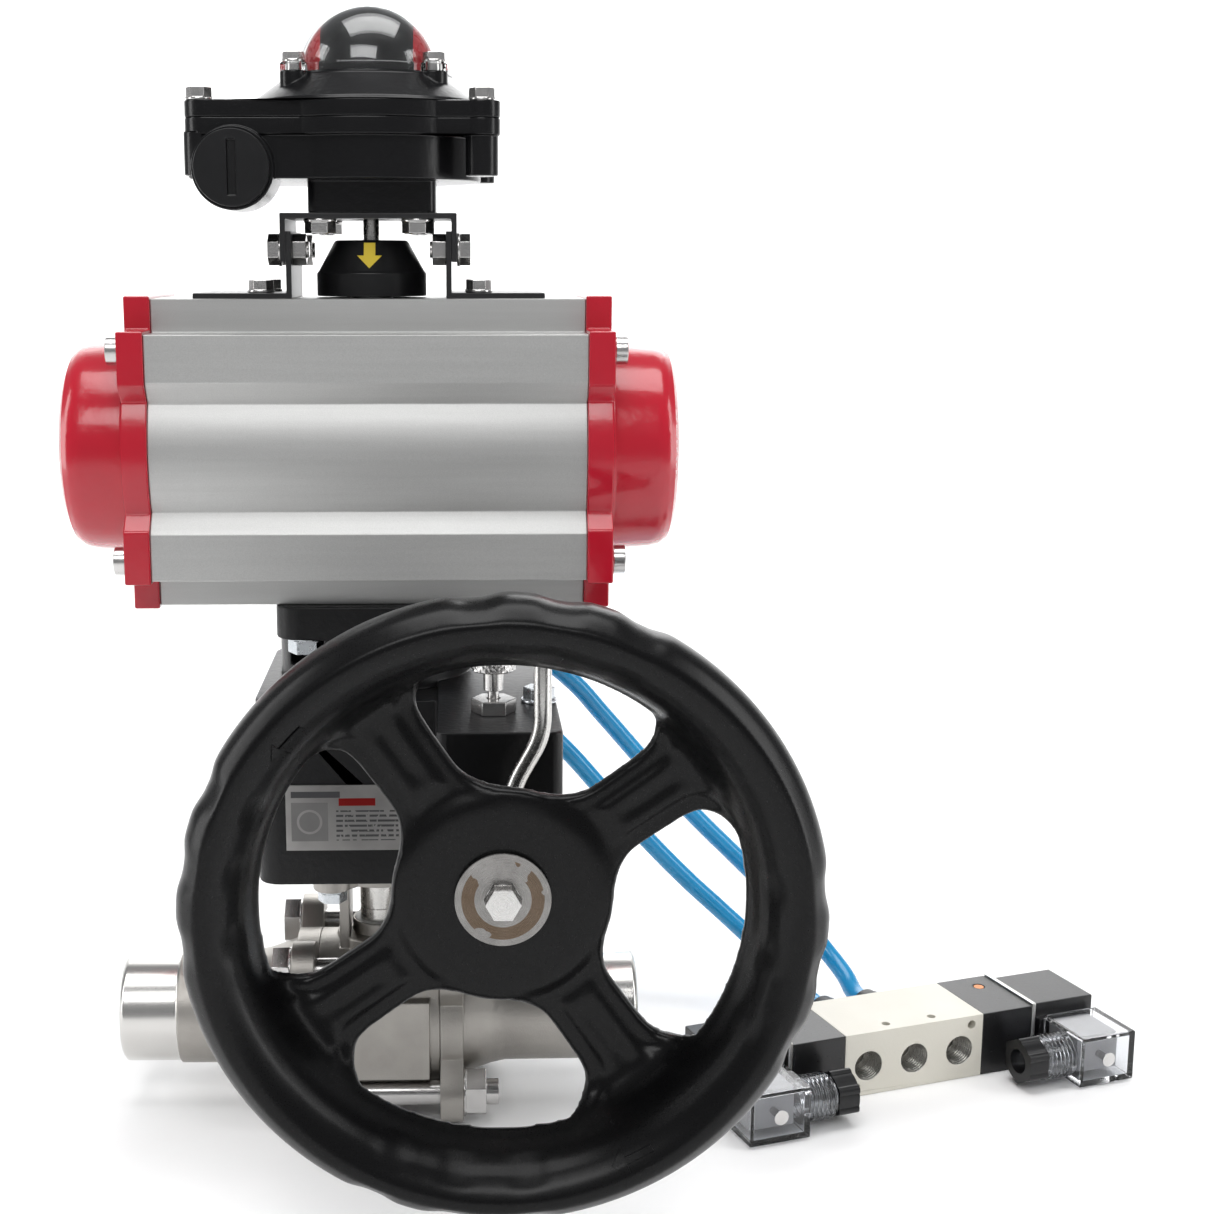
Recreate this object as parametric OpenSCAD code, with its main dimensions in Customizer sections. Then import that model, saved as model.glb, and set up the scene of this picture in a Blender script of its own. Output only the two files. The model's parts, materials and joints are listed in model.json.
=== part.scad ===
// Quarter-turn stainless ball valve, DN32, with a declutchable worm-gear
// override, a double-acting rack-and-pinion air actuator, a limit-switch box
// and a 5/2 double-solenoid air valve joined by two air tubes.
// Origin: centre of the ball. +X runs along the pipe, +Y away from the
// handwheel, +Z up the stem. All sizes are millimetres.

/* [Ball valve] */
// Outer diameter of the weld ends
pipe_od = 42.4; // [42:0.1:43]
// Flow bore diameter, full port
bore_d = 32; // [30:0.5:33]
// Overall length over the weld ends
valve_len = 205; // [200:1:215]
// Ball diameter
ball_d = 48; // [47.5:0.1:48.5]
// Stem diameter
stem_d = 15.8; // [15:0.1:16]

/* [Worm gearbox] */
// Gear module of the worm and wheel
worm_m = 2; // [2:2]
// Teeth on the worm wheel
wheel_z = 36; // [36:36]
// Offset of the worm inside its clutch sleeve
clutch_e = 4.5; // [4.5:0.1:4.6]
// Height of the worm axis
worm_h = 104; // [104:104]
// Radius of the clutch sleeve
sleeve_r = 13.5; // [13.3:0.1:13.6]

/* [Handwheel] */
// Outer diameter of the handwheel
wheel_d = 196; // [194:1:200]
// Radial width of the rim
rim_w = 24; // [23:1:25]
// Thickness of the pressed sheet
sheet_t = 2.5; // [2:0.1:3]

/* [Actuator] */
// Length of the extruded body
body_len = 157; // [157:157]
// Piston bore diameter
act_bore = 80; // [79.5:0.1:80.2]
// Height of the piston axis
act_h = 227; // [227:227]
// Gear module of the pinion and racks
rack_m = 1.5; // [1.5:1.5]
// Teeth on the pinion
pinion_z = 16; // [16:16]

/* [Top works] */
// Height of the bracket top plate
plate_h = 313.5; // [313:0.1:314]
// Outer radius of the clear indicator dome
dome_r = 27; // [26.5:0.1:27.5]

/* [Air valve] */
// Centre of the air valve along X
av_x = 212.5; // [208:0.5:216]
// Centre of the air valve along Y
av_y = 13; // [10:0.5:16]
// Turn of the air valve about the vertical
av_turn = 18.3; // [17:0.1:19]
// Air tube diameter
tube_d = 8; // [8:8]

/* [Hidden] */
$fn = 64;

table_z = -37;          // surface that the air valve lies on
body_r = 31;            // round centre of the valve body
cavity_r = 25;          // cavity round the ball
body_half = 24;         // half length of the valve body
flange_x = 33;          // outer face of the end flanges
lug_y = 27;             // body bolts from the axis, sideways
lug_z = 25.5;           // body bolts from the axis, up and down
lug_r = 11.5;           // rounded lugs of the end flanges
m10_r = 5;
pad_bottom = 56;        // mounting pad under the gearbox
pad_top = 64;
pad_bolt = 17.68;       // four holes on a 50 mm circle, as x and y
pad_arm = 13.6;         // width of the pad's diagonal arms
worm_x = 45;            // worm axis when engaged
sleeve_x = worm_x + clutch_e;
wheel_pr = worm_m * wheel_z / 2;
wheel_tip = wheel_pr + worm_m;
wheel_root = wheel_pr - 2.4;
worm_pr = 9;
worm_tip = 11;
worm_root = 6.6;
worm_play = 0.62;       // each flank of the thread is thinned, so the worm can swing out
lead = PI * worm_m;
lead_angle = atan(lead / (2 * PI * worm_pr));
gear_b = 14;            // face width of the worm wheel
case_top = 139;
flange_z0 = 158.5;      // gearbox top flange
flange_z1 = 171;
top_bolt = 24.75;       // four holes on a 70 mm circle, as x and y
rim_y = -176;           // centre plane of the rim
hub_y = -162;           // front face of the recessed hub
act_half = 56;          // half height of the actuator body
cover_flange = 9.5;
pinion_pr = rack_m * pinion_z / 2;
rack_b = 30;            // height of the pinion teeth and racks
piston_r = 39.6;
top_z = act_h + act_half;
bolt80 = [40, 15];      // mounting holes of the top interface, 80 x 30
side_bolt_z = 300.5;    // horizontal screws of the bracket
block = [65, 35, 27];   // air valve body
pilot_len = 24;
coil_len = 30;
block_z = table_z + block[2] / 2;
port_pitch = 21.5;
g14_r = 6.2;            // G1/4 threaded hole
tube_r = tube_d / 2;

// Route of the outer tube, from the right elbow to the right rear fitting
route_a = [
    [12, 66, 202], [12.5, 66.5, 188], [17, 69, 174], [26, 73, 161], [39, 78, 149],
    [60, 84, 132], [83, 88, 113], [96, 90, 98], [119, 92, 71], [142, 93, 46],
    [156, 93, 32], [169, 92, 19], [181, 90, 7], [191, 86, -3], [199, 80, -12],
    [205, 71, -19], [207.5, 62, -23.5]
];
// Route of the inner tube, from the left elbow to the left rear fitting
route_b = [
    [-12, 66, 202], [-11, 66.5, 188], [-5, 68, 174], [6, 70, 161], [22, 73, 144],
    [42, 75, 123], [61, 77, 103], [81, 78, 83], [93, 79, 69], [113, 79, 46],
    [134, 79, 24], [148, 78, 11], [160, 76, 0], [170, 72, -9], [178, 66, -17],
    [184.5, 58, -22.5]
];

// ---- helpers -------------------------------------------------------------
module rod_x(r, x0, x1, y = 0, z = 0)
    translate([x0, y, z]) rotate([0, 90, 0]) cylinder(r = r, h = x1 - x0);
module rod_y(r, y0, y1, x = 0, z = 0)
    translate([x, y0, z]) rotate([-90, 0, 0]) cylinder(r = r, h = y1 - y0);
module rod_z(r, z0, z1, x = 0, y = 0)
    translate([x, y, z0]) cylinder(r = r, h = z1 - z0);
module hex(af, h) cylinder(r = af / 2 / cos(30), h = h, $fn = 6);
module box(a, b) translate(a) cube(b - a);
module at4(a, b) for (sx = [-1, 1], sy = [-1, 1]) translate([sx * a, sy * b, 0]) children();
module both() { children(); mirror([1, 0, 0]) children(); }

// Rectangle with round corners, from corner a to corner b
module rrect(a, b, r) {
    translate([a[0] + r, a[1]]) square([b[0] - a[0] - 2 * r, b[1] - a[1]]);
    translate([a[0], a[1] + r]) square([b[0] - a[0], b[1] - a[1] - 2 * r]);
    for (x = [a[0] + r, b[0] - r], y = [a[1] + r, b[1] - r]) translate([x, y]) circle(r);
}
module slab(a, b, r, z0, z1) translate([0, 0, z0]) linear_extrude(z1 - z0) rrect(a, b, r);

// Hexagon screw: head on top of z = 0, shank of radius r and length l below
module hex_screw(af, head, r, l) {
    hex(af, head);
    translate([0, 0, -l]) cylinder(r = r, h = l);
}
module ring(r0, r1, h) difference() {
    cylinder(r = r1, h = h);
    translate([0, 0, -1]) cylinder(r = r0, h = h + 2);
}

// Vector helpers for the swept tubes
function unit(v) = v / norm(v);
function dir_at(p, i) = unit(p[min(i + 1, len(p) - 1)] - p[max(i - 1, 0)]);
function side_of(d) = unit(cross(d, [0, 1, 0.2]));
function ring_pts(c, d, r, n) = let (s = side_of(d), t = cross(d, s))
    [for (k = [0 : n - 1]) c + r * (cos(360 * k / n) * s + sin(360 * k / n) * t)];
// One closed tube through every point of a route
module tube(p, r, n = 12) {
    m = len(p);
    pts = [for (i = [0 : m - 1]) each ring_pts(p[i], dir_at(p, i), r, n)];
    sides = [for (i = [0 : m - 2], k = [0 : n - 1])
        [i * n + k, i * n + (k + 1) % n, (i + 1) * n + (k + 1) % n, (i + 1) * n + k]];
    polyhedron(pts, concat([[for (k = [n - 1 : -1 : 0]) k]], sides,
        [[for (k = [0 : n - 1]) (m - 1) * n + k]]), convexity = 8);
}
// A point between each pair of route points, on a smooth curve
function mid4(a, b, c, d) = (9 * (b + c) - a - d) / 16;
function finer(p) = [for (i = [0 : len(p) - 1]) each i == len(p) - 1 ? [p[i]] :
    [p[i], mid4(p[max(i - 1, 0)], p[i], p[i + 1], p[min(i + 2, len(p) - 1)])]];

// ---- ball valve ----------------------------------------------------------
module lug_plate(r_mid) {
    circle(r_mid);
    for (a = [atan2(lug_z, lug_y), 180 - atan2(lug_z, lug_y)], s = [0, 180]) rotate(a + s) {
        translate([0, -lug_r]) square([norm([lug_y, lug_z]), 2 * lug_r]);
        translate([norm([lug_y, lug_z]), 0]) circle(lug_r);
    }
}
module lug_bolts() for (y = [-lug_y, lug_y], z = [-lug_z, lug_z]) translate([0, y, z])
    rotate([0, 90, 0]) children();

module valve_body() color("gainsboro") difference() {
    union() {
        rod_x(body_r, -body_half, body_half);
        rod_z(17, 24, 33);
        rod_z(11, 24, 38);
        both() box([11.6, -12, 22], [15.6, 12, pad_bottom]);
        translate([0, 0, pad_bottom]) linear_extrude(pad_top - pad_bottom) difference() {
            union() {
                circle(19);
                for (a = [45, 135]) rotate(a) square([48, pad_arm], center = true);
                at4(pad_bolt, pad_bolt) circle(7.5);
            }
            circle(9);
        }
        box([-20, body_r - 12, -18], [20, body_r + 1.5, 14]);
        box([-20, -body_r - 1.5, -18], [20, -body_r + 12, 14]);
    }
    rod_x(cavity_r, -body_half - 1, body_half + 1);
    rod_z(stem_d / 2 + 0.4, 20, 40);
    rod_z(10, 29.5, 40);
    at4(pad_bolt, pad_bolt) rod_z(3.3, pad_bottom - 1, pad_top + 1);
}
module pipe_end() color("silver") difference() {
    union() {
        translate([body_half, 0, 0]) rotate([90, 0, 90])
            linear_extrude(flange_x - body_half) lug_plate(body_r);
        rotate([0, 90, 0]) rotate_extrude() polygon([
            [0, flange_x - 1], [27, flange_x - 1], [27, flange_x + 1], [23.5, 44], [22.3, 50],
            [22.2, 79.5], [pipe_od / 2, 80], [pipe_od / 2, valve_len / 2 - 1.5],
            [19.5, valve_len / 2], [0, valve_len / 2]]);
    }
    rod_x(bore_d / 2, 10, valve_len);
    lug_bolts() cylinder(r = 5.3, h = 60);
}
module left_pipe_end() mirror([1, 0, 0]) pipe_end();
module right_pipe_end() pipe_end();
module seat_rings() color("white") both() rotate([0, 90, 0]) rotate_extrude() difference() {
    translate([bore_d / 2, 12.8]) square([cavity_r - bore_d / 2, body_half - 12.8]);
    circle(r = ball_d / 2 + 0.3);
}
module valve_bolts() color("silver") lug_bolts() {
    translate([0, 0, -flange_x - 1]) cylinder(r = m10_r, h = 81);
    translate([0, 0, -flange_x - 1]) ring(m10_r, 9.5, 1);
    translate([0, 0, -flange_x - 7.5]) hex(17, 6.5);
    translate([0, 0, flange_x]) ring(m10_r, 9.5, 1);
    translate([0, 0, flange_x + 1]) difference() {
        hex(17, 8);
        translate([0, 0, -1]) cylinder(r = m10_r, h = 10);
    }
}
module stem_packing() color("white")
    translate([0, 0, 29.5]) ring(stem_d / 2 + 0.05, 10, 8.5);
module ball() color("silver") difference() {
    sphere(r = ball_d / 2);
    rod_x(bore_d / 2, -30, 30);
    box([-30, -4, 19], [30, 4, 25]);
}
module valve_stem() color("silver") difference() {
    union() {
        box([-6.5, -3.9, 19.4], [6.5, 3.9, 24.5]);
        rod_z(stem_d / 2, 24, 63);
        box([-5.5, -5.5, 62], [5.5, 5.5, 88]);
    }
    translate([0, 0, 43]) ring(stem_d / 2 - 0.4, 12, 0.8);
}

// ---- worm gearbox --------------------------------------------------------
module gearbox_housing() color("dimgray") difference() {
    union() {
        slab([-43, -50], [44, 45], 8, 68.7, case_top);
        slab([24, -104], [67, 45], 4, 69, 141);
        rod_z(37, case_top - 1, flange_z0 + 0.5);
        slab([-36, -36], [36, 36], 9, flange_z0, flange_z1);
        rod_y(18, -107, -100, sleeve_x - 1, worm_h);
    }
    rod_z(40, 60, 116);
    slab([-38.5, -38.5], [38.5, 38.5], 8, 60, 73);
    rod_z(18, 110, case_top);
    rod_z(17, case_top - 1, flange_z1 + 1);
    rod_y(sleeve_r + 0.05, -110, -16, sleeve_x, worm_h);
    rod_y(15.9, -17, 17, sleeve_x, worm_h);
    rod_y(sleeve_r + 0.05, 16, 38, sleeve_x, worm_h);
    rod_z(2.4, worm_h, 145, 44, -75);
    rod_z(4, 133, 145, 44, -75);
    rod_z(3, 130, 145, 60.7, -60);
    at4(top_bolt, top_bolt) {
        rod_z(9.5, 146, flange_z0);
        rod_z(4.3, flange_z0 - 1, flange_z1 + 1);
    }
    at4(32.5, 32.5) rod_z(2.5, 60, 85);
}
module gearbox_cover() color("dimgray") difference() {
    union() {
        slab([-38.2, -38.2], [38.2, 38.2], 8, 68.7, 73);
        rod_z(29, pad_top, 69);
        rod_z(24, 70, 91);
    }
    rod_z(18, 72, 95);
    rod_z(15.6, 60, 73);
    at4(pad_bolt, pad_bolt) rod_z(3, 60, 71.5);
    at4(32.5, 32.5) {
        rod_z(2.8, 60, 80);
        rod_z(4.3, 60, 71.7);
    }
}
module gearbox_screws() color("lightsteelblue") {
    at4(top_bolt, top_bolt) {
        rod_z(4, 152, 181);
        translate([0, 0, 152]) hex(13, 5.3);
        translate([0, 0, 157.3]) ring(4, 7.5, 1.2);
    }
    at4(pad_bolt, pad_bolt) {
        rod_z(3, 51, 71);
        translate([0, 0, 51]) hex(10, 4);
        translate([0, 0, 55]) ring(3, 5.6, 1);
    }
    at4(32.5, 32.5) {
        rod_z(2.5, 71, 84);
        rod_z(4.2, 69, 71.7);
    }
    translate([60.7, -60, 142.2]) hex_screw(10, 4.2, 3, 11);
    translate([60.7, -60, 141]) ring(3, 6.5, 1.2);
}
module shaft_bushes() color("peru") {
    translate([0, 0, 72]) ring(15.05, 18, 18);
    translate([0, 0, 117]) ring(15.05, 18, 20);
}
// Half angles of an involute tooth at radius r, less a little backlash
function inv(a) = tan(a) - a * PI / 180;
function tooth_half(r, pr, z, thin) = let (rb = pr * cos(20))
    90 / z + (inv(20) - inv(acos(min(1, rb / r)))) * 180 / PI - thin / r * 180 / PI;
function tooth_side(rs, pr, z, thin, s) =
    [for (r = rs) r * [cos(s * tooth_half(r, pr, z, thin)), sin(s * tooth_half(r, pr, z, thin))]];
module tooth(rs, pr, z, thin) {
    up = tooth_side(rs, pr, z, thin, 1);
    dn = tooth_side(rs, pr, z, thin, -1);
    polygon(concat([[rs[0] - 1.2, -up[0][1]]], dn, [for (i = [len(up) - 1 : -1 : 0]) up[i]],
        [[rs[0] - 1.2, up[0][1]]]));
}
module worm_wheel() color("darkgoldenrod") difference() {
    union() {
        translate([0, 0, worm_h - gear_b / 2]) intersection() {
            cylinder(r = wheel_tip, h = gear_b);
            union() {
                cylinder(r = wheel_root, h = gear_b);
                for (i = [0 : wheel_z - 1]) rotate((i + 0.5) * 360 / wheel_z)
                    translate([0, 0, gear_b / 2]) rotate([lead_angle, 0, 0])
                        translate([0, 0, -gear_b]) linear_extrude(2 * gear_b)
                            tooth([wheel_root + 0.4, wheel_pr, wheel_tip + 0.1],
                                wheel_pr, wheel_z, 0.1);
            }
        }
        rod_z(15, 71, 138);
        rod_z(11, 138, 152);
        box([-5.5, -5.5, 151], [5.5, 5.5, 188]);
    }
    box([-5.55, -5.55, 60], [5.55, 5.55, 92]);
}
// Cross-section of the single-start worm: a cam whose radius follows the thread
function worm_half(r) = lead / 4 - worm_play - (r - worm_pr) * tan(20);
function worm_r(s) = let (a = abs(s)) a <= worm_half(worm_tip) ? worm_tip :
    a >= worm_half(worm_root) ? worm_root : worm_pr + (lead / 4 - worm_play - a) / tan(20);
// Angles round the section: root, flank, crest, flank, root
function worm_angles() = let (crest = worm_half(worm_tip) / lead * 360,
    foot = worm_half(worm_root) / lead * 360, step = (foot - crest) / 4)
    [-180, -158, -136, for (k = [0 : 4]) k * step - foot, 0,
    for (k = [0 : 4]) crest + k * step, 136, 158];
module worm_shaft() color("silver") {
    difference() {
        translate([worm_x, 0, worm_h]) union() {
            // thread crest faces the wheel at the middle of its length
            translate([0, 13, 0]) rotate([90, 0, 0]) rotate(180) translate([0, 0, 13])
                for (half = [0, 1]) mirror([0, 0, half]) linear_extrude(13,
                    twist = (half == 0 ? -1 : 1) * 360 * 13 / lead, slices = 34, $fn = 16)
                    polygon([for (a = worm_angles()) worm_r(a / 360 * lead) * [cos(a), sin(a)]]);
            rod_y(6, -hub_gap(), -13);
            rod_y(6, 13, 37);
            rod_y(7.6, -17.4, -13);
            rod_y(7.6, 13, 17.4);
        }
        rod_y(3, hub_y - 1, -150, worm_x, worm_h);
    }
}
function hub_gap() = -hub_y - 0.5;
module clutch_lever() color("silver") {
    difference() {
        rod_y(sleeve_r, -117, 37, sleeve_x, worm_h);
        // open round the worm, apart from a strip away from the wheel
        translate([sleeve_x - 20, -18, worm_h - 20]) cube([29.4, 36, 40]);
        for (z = [worm_h - 20, worm_h + 7]) translate([sleeve_x, -18, z]) cube([20, 36, 13]);
        rod_y(6.05, -120, 40, worm_x, worm_h);
        translate([sleeve_x, -77.7, worm_h]) rotate([-90, 0, 0]) ring(11.6, 20, 5.4);
    }
    translate([48.5, -113, worm_h + 11.5]) rotate([0, 7, 0]) cylinder(r = 3, h = 10);
    translate([49.7, -113, worm_h + 21]) {
        sphere(r = 3.3);
        rotate([0, 29, 0]) cylinder(r = 3, h = 20);
        translate([9.7, 0, 17.5]) sphere(r = 3.3);
        translate([9.7, 0, 17.5]) cylinder(r = 3, h = 34);
    }
}
module plunger_nut() color("silver") translate([44, -75, 0]) {
    difference() {
        union() {
            translate([0, 0, 141]) hex(14, 5);
            rod_z(4, 133, 141);
        }
        rod_z(2.4, 130, 150);
    }
}
module lock_plunger() color("silver") translate([44, -75, 0]) {
    rod_z(2, worm_h + 11.5, 150);
    rod_z(3.5, 149, 156);
    rod_z(8, 156, 161);
}
module nameplate() color("lightgray")
    box([-32, -50.8, 82.4], [22, -50, 107.4]);

// ---- handwheel -----------------------------------------------------------
module wheel_windows() offset(r = 9) offset(delta = -9) difference() {
    circle(r = wheel_d / 2 - rim_w, $fn = 48);
    circle(r = 35, $fn = 48);
    for (a = [35 : 90 : 305]) rotate(a) {
        translate([0, -12]) square([90, 24]);
        translate([75, 0]) circle(r = 20, $fn = 32);
    }
}
module handwheel() color("black") translate([worm_x, 0, worm_h]) rotate([90, 0, 0]) {
    rim_c = wheel_d / 2 - rim_w / 2;
    mid = -rim_y;
    web = -hub_y - 5.5;
    difference() {
        union() {
            // rolled rim, round in front and open at the back
            rotate_extrude() {
                difference() {
                    translate([rim_c, mid]) circle(r = rim_w / 2);
                    translate([rim_c, mid]) circle(r = rim_w / 2 - sheet_t);
                    translate([rim_c - 20, mid - 20]) square([40, 20]);
                }
                translate([rim_c + rim_w / 2 - sheet_t, mid - 8]) square([sheet_t, 8]);
                translate([rim_c - rim_w / 2, web]) square([sheet_t, mid - web]);
            }
            // web, set back behind the rim
            translate([0, 0, web]) linear_extrude(sheet_t) difference() {
                circle(r = rim_c - rim_w / 2 + 1);
                wheel_windows();
            }
            translate([0, 0, -hub_y - 4.6]) cylinder(r = 33, h = 4.6);
            translate([0, 0, 146]) cylinder(r = 11, h = -hub_y - 147);
            // pressed ribs along the edges of each spoke
            for (a = [35 : 90 : 305], s = [-1, 1]) rotate(a)
                translate([26, s * 8 - 2, web + 1]) cube([48, 4, 4.5]);
        }
        translate([0, 0, 140]) cylinder(r = 6, h = -hub_y - 140.5);
        translate([0, 0, 140]) cylinder(r = 3.2, h = 50);
        // finger grips pressed into the rim beside each window
        for (w = [-10 : 90 : 260], k = [-1, 0, 1]) rotate(w + 15 * k)
            translate([wheel_d / 2 + 9.8, 0, mid - 9]) cylinder(r = 11, h = 30);
    }
}
module wheel_bolt() color("silver") translate([worm_x, 0, worm_h]) rotate([90, 0, 0]) {
    translate([0, 0, -hub_y]) ring(3, 15, 2);
    translate([0, 0, 2 - hub_y]) hex(10, 5);
    translate([0, 0, 150]) cylinder(r = 3, h = -hub_y - 147);
}

// ---- actuator ------------------------------------------------------------
module profile(grow = 0) {
    square([60 + 2 * grow, 2 * act_half + 2 * grow], center = true);
    for (sx = [-1, 1], sy = [-1, 1]) scale([sx, sy]) polygon([[0, 44 + grow],
        [48 + grow, 44 + grow], [48 + grow, 27 - grow], [41, 17], [0, 17]]);
    circle(r = 47 + grow, $fn = 96);
}
module along_x(x0, x1) translate([x0, 0, act_h]) rotate([90, 0, 90]) linear_extrude(x1 - x0)
    children();
module cover_holes() for (y = [-38, 38], z = [-38, 38]) translate([y, z]) children();

module actuator_body() color("silver") difference() {
    union() {
        along_x(-body_len / 2, body_len / 2) difference() {
            profile();
            cover_holes() circle(r = 3);
        }
        box([-28, 42, act_h - 20], [28, 48.5, act_h + 20]);
    }
    rod_x(act_bore / 2, -90, 90, 0, act_h);
    rod_z(15, act_h - act_half - 1, act_h - 30);
    rod_z(12, act_h + 30, top_z + 1);
    at4(top_bolt, top_bolt) rod_z(4, 170, 182);
    at4(bolt80[0], bolt80[1]) rod_z(2.5, top_z - 8, top_z + 1);
    for (x = [-12, 12]) rod_y(g14_r, 36, 50, x, act_h);
}
module end_cover() color("crimson") difference() {
    union() {
        along_x(body_len / 2, body_len / 2 + cover_flange) profile(1.2);
        translate([body_len / 2 + cover_flange - 0.5, 0, act_h]) rotate([0, 90, 0])
            rotate_extrude($fn = 96) polygon([[0, 0], [41, 0], [39.6, 1.5], [38.6, 17],
                [37.8, 21], [35.6, 24], [32, 25.5], [0, 25.5]]);
    }
    rod_x(36, 70, 105, 0, act_h);
    along_x(body_len / 2 - 1, 120) cover_holes() circle(r = 3);
    translate([body_len / 2, 0, act_h]) rotate([0, 90, 0]) ring(41.9, 44.1, 2);
    along_x(body_len / 2 + cover_flange - 0.1, 120) cover_holes() circle(r = 6.2);
}
module left_end_cover() mirror([1, 0, 0]) end_cover();
module right_end_cover() end_cover();
module end_cover_screws() color("silver") both() {
    along_x(62, body_len / 2 + cover_flange) cover_holes() circle(r = 3);
    along_x(body_len / 2 + cover_flange, body_len / 2 + cover_flange + 5) cover_holes()
        difference() {
            circle(r = 5.15);
            circle(r = 2.9, $fn = 6);
        }
}
module cover_seals() color("black") both()
    translate([body_len / 2, 0, act_h]) rotate([0, 90, 0]) ring(42, 44, 2);

module pinion() color("silver") {
    difference() {
        union() {
            rod_z(10, 172.5, act_h - rack_b / 2);
            translate([0, 0, act_h - rack_b / 2]) linear_extrude(rack_b) {
                circle(r = pinion_pr - 1.9);
                for (i = [0 : pinion_z - 1]) rotate(i * 360 / pinion_z)
                    tooth([pinion_pr - 1.9, 11.3, pinion_pr, 12.8, pinion_pr + rack_m],
                        pinion_pr, pinion_z, 0.12);
            }
            rod_z(8, act_h + rack_b / 2, 301);
        }
        box([-5.55, -5.55, 160], [5.55, 5.55, 190]);
        box([-2.05, -9, 296], [2.05, 9, 310]);
    }
}
module pinion_bushes() color("ivory") {
    translate([0, 0, 172]) ring(10.05, 15, 15);
    translate([0, 0, 266]) ring(8.05, 12, 16.5);
}
// Left piston: head at the left, rack behind the pinion
module rack_teeth(n0, n1) for (i = [n0 : n1])
    translate([(i + 0.5) * PI * rack_m, 0]) polygon([[-1.72, 1.95], [-0.46, -1.45],
        [0.46, -1.45], [1.72, 1.95]]);
module piston() difference() {
    union() {
        rod_x(piston_r, -76, -62, 0, act_h);
        box([-63, pinion_pr + 1.9, act_h - rack_b / 2], [18, 28, act_h + rack_b / 2]);
        translate([0, pinion_pr, act_h - rack_b / 2]) linear_extrude(rack_b)
            rack_teeth(-7, 2);
    }
    for (x = [-73, -67]) translate([x, 0, act_h]) rotate([0, 90, 0]) ring(38, 45, 2.4);
}
module piston_rings() for (x = [-73, -67]) translate([x, 0, act_h]) rotate([0, 90, 0])
    ring(38, act_bore / 2 - 0.05, 2.4);
module left_piston() { color("lightgray") piston(); color("black") piston_rings(); }
module right_piston() rotate(180) left_piston();

// ---- indicator, bracket and switch box ------------------------------------
module position_indicator() color("black") difference() {
    union() {
        rotate_extrude() polygon([[0, 283.6], [20.5, 283.6], [20.5, 292], [19.6, 293],
            [14, 303.2], [13.2, 304], [0, 304]]);
    }
    rod_z(8, 280, 301);
    rod_z(3, 300, 310);
}
module foot() color("dimgray") difference() {
    union() {
        box([28, -24, top_z], [64, 24, top_z + 2]);
        box([28, -24, top_z], [30, 24, 307]);
    }
    for (y = [-15, 15]) {
        rod_z(2.7, top_z - 1, top_z + 3, 40, y);
        rod_x(3.1, 27, 31, y, side_bolt_z);
    }
}
module right_foot_bracket() foot();
module left_foot_bracket() mirror([1, 0, 0]) foot();
module top_bracket() color("dimgray") difference() {
    box([-32, -24, 296], [32, 24, plate_h]);
    box([-30, -25, 295], [30, 25, plate_h - 2]);
    rod_z(8, 300, 320);
    at4(pad_bolt, pad_bolt) rod_z(3.1, 300, 320);
    for (y = [-15, 15]) rod_x(3.1, -40, 40, y, side_bolt_z);
}
module bracket_screws() color("silver") both() for (y = [-15, 15]) {
    translate([40, y, top_z + 3]) hex_screw(8, 3.6, 2.5, 11);
    translate([40, y, top_z + 2]) ring(2.5, 5, 1);
    rod_x(3, 22, 33, y, side_bolt_z);
    translate([32, y, side_bolt_z]) rotate([0, 90, 0]) ring(3, 6, 1);
    translate([33, y, side_bolt_z]) rotate([0, 90, 0]) hex(10, 4);
    translate([23, y, side_bolt_z]) rotate([0, 90, 0]) difference() {
        hex(10, 5);
        translate([0, 0, -1]) cylinder(r = 3, h = 7);
    }
}
module box_screws() color("silver") at4(pad_bolt, pad_bolt) {
    rod_z(3, 306, 322);
    translate([0, 0, 306.3]) hex(10, 4);
    translate([0, 0, 310.3]) ring(3, 6, 1.2);
}
// Round pot with a square end at the left and two screw lugs at the right
lid_x = [-58.5, 41];    // lid screws
lid_y = 31;
module lid_plan(grow) {
    circle(r = 44 + grow);
    rrect([-64 - grow, -37 - grow], [0, 37 + grow], 8);
    for (y = [-lid_y, lid_y]) {
        translate([lid_x[1], y]) circle(r = 6.5 + grow);
        translate([20, y - 5]) square([lid_x[1] - 20, 10]);
    }
}
module lid_screw_points() for (x = lid_x, y = [-lid_y, lid_y]) translate([x, y]) children();
module switch_box_base() color("black") difference() {
    union() {
        slab([-22, -23], [24.5, 23], 4, plate_h, 326);
        translate([0, 0, 325]) linear_extrude(17) {
            circle(r = 41);
            rrect([-63, -36], [0, 36], 7);
        }
        translate([0, 0, 340]) linear_extrude(6) lid_plan(0);
        rod_y(14.5, -41, -10, -46.3, 328.4);
        translate([0, 0, 326]) linear_extrude(15) lid_screw_points() circle(r = 5.8);
    }
    translate([0, 0, 332]) linear_extrude(15) {
        circle(r = 37);
        rrect([-50, -32], [0, 32], 4);
    }
    translate([0, 0, 334]) linear_extrude(13) lid_screw_points() circle(r = 2.5);
    rod_y(10, -45, -32, -46.3, 328.4);
    box([-49, -34, 330], [-43.6, -25, 345]);
    rod_z(3.3, 300, 346);
    at4(pad_bolt, pad_bolt) rod_z(3, 310, 322);
}
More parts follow.
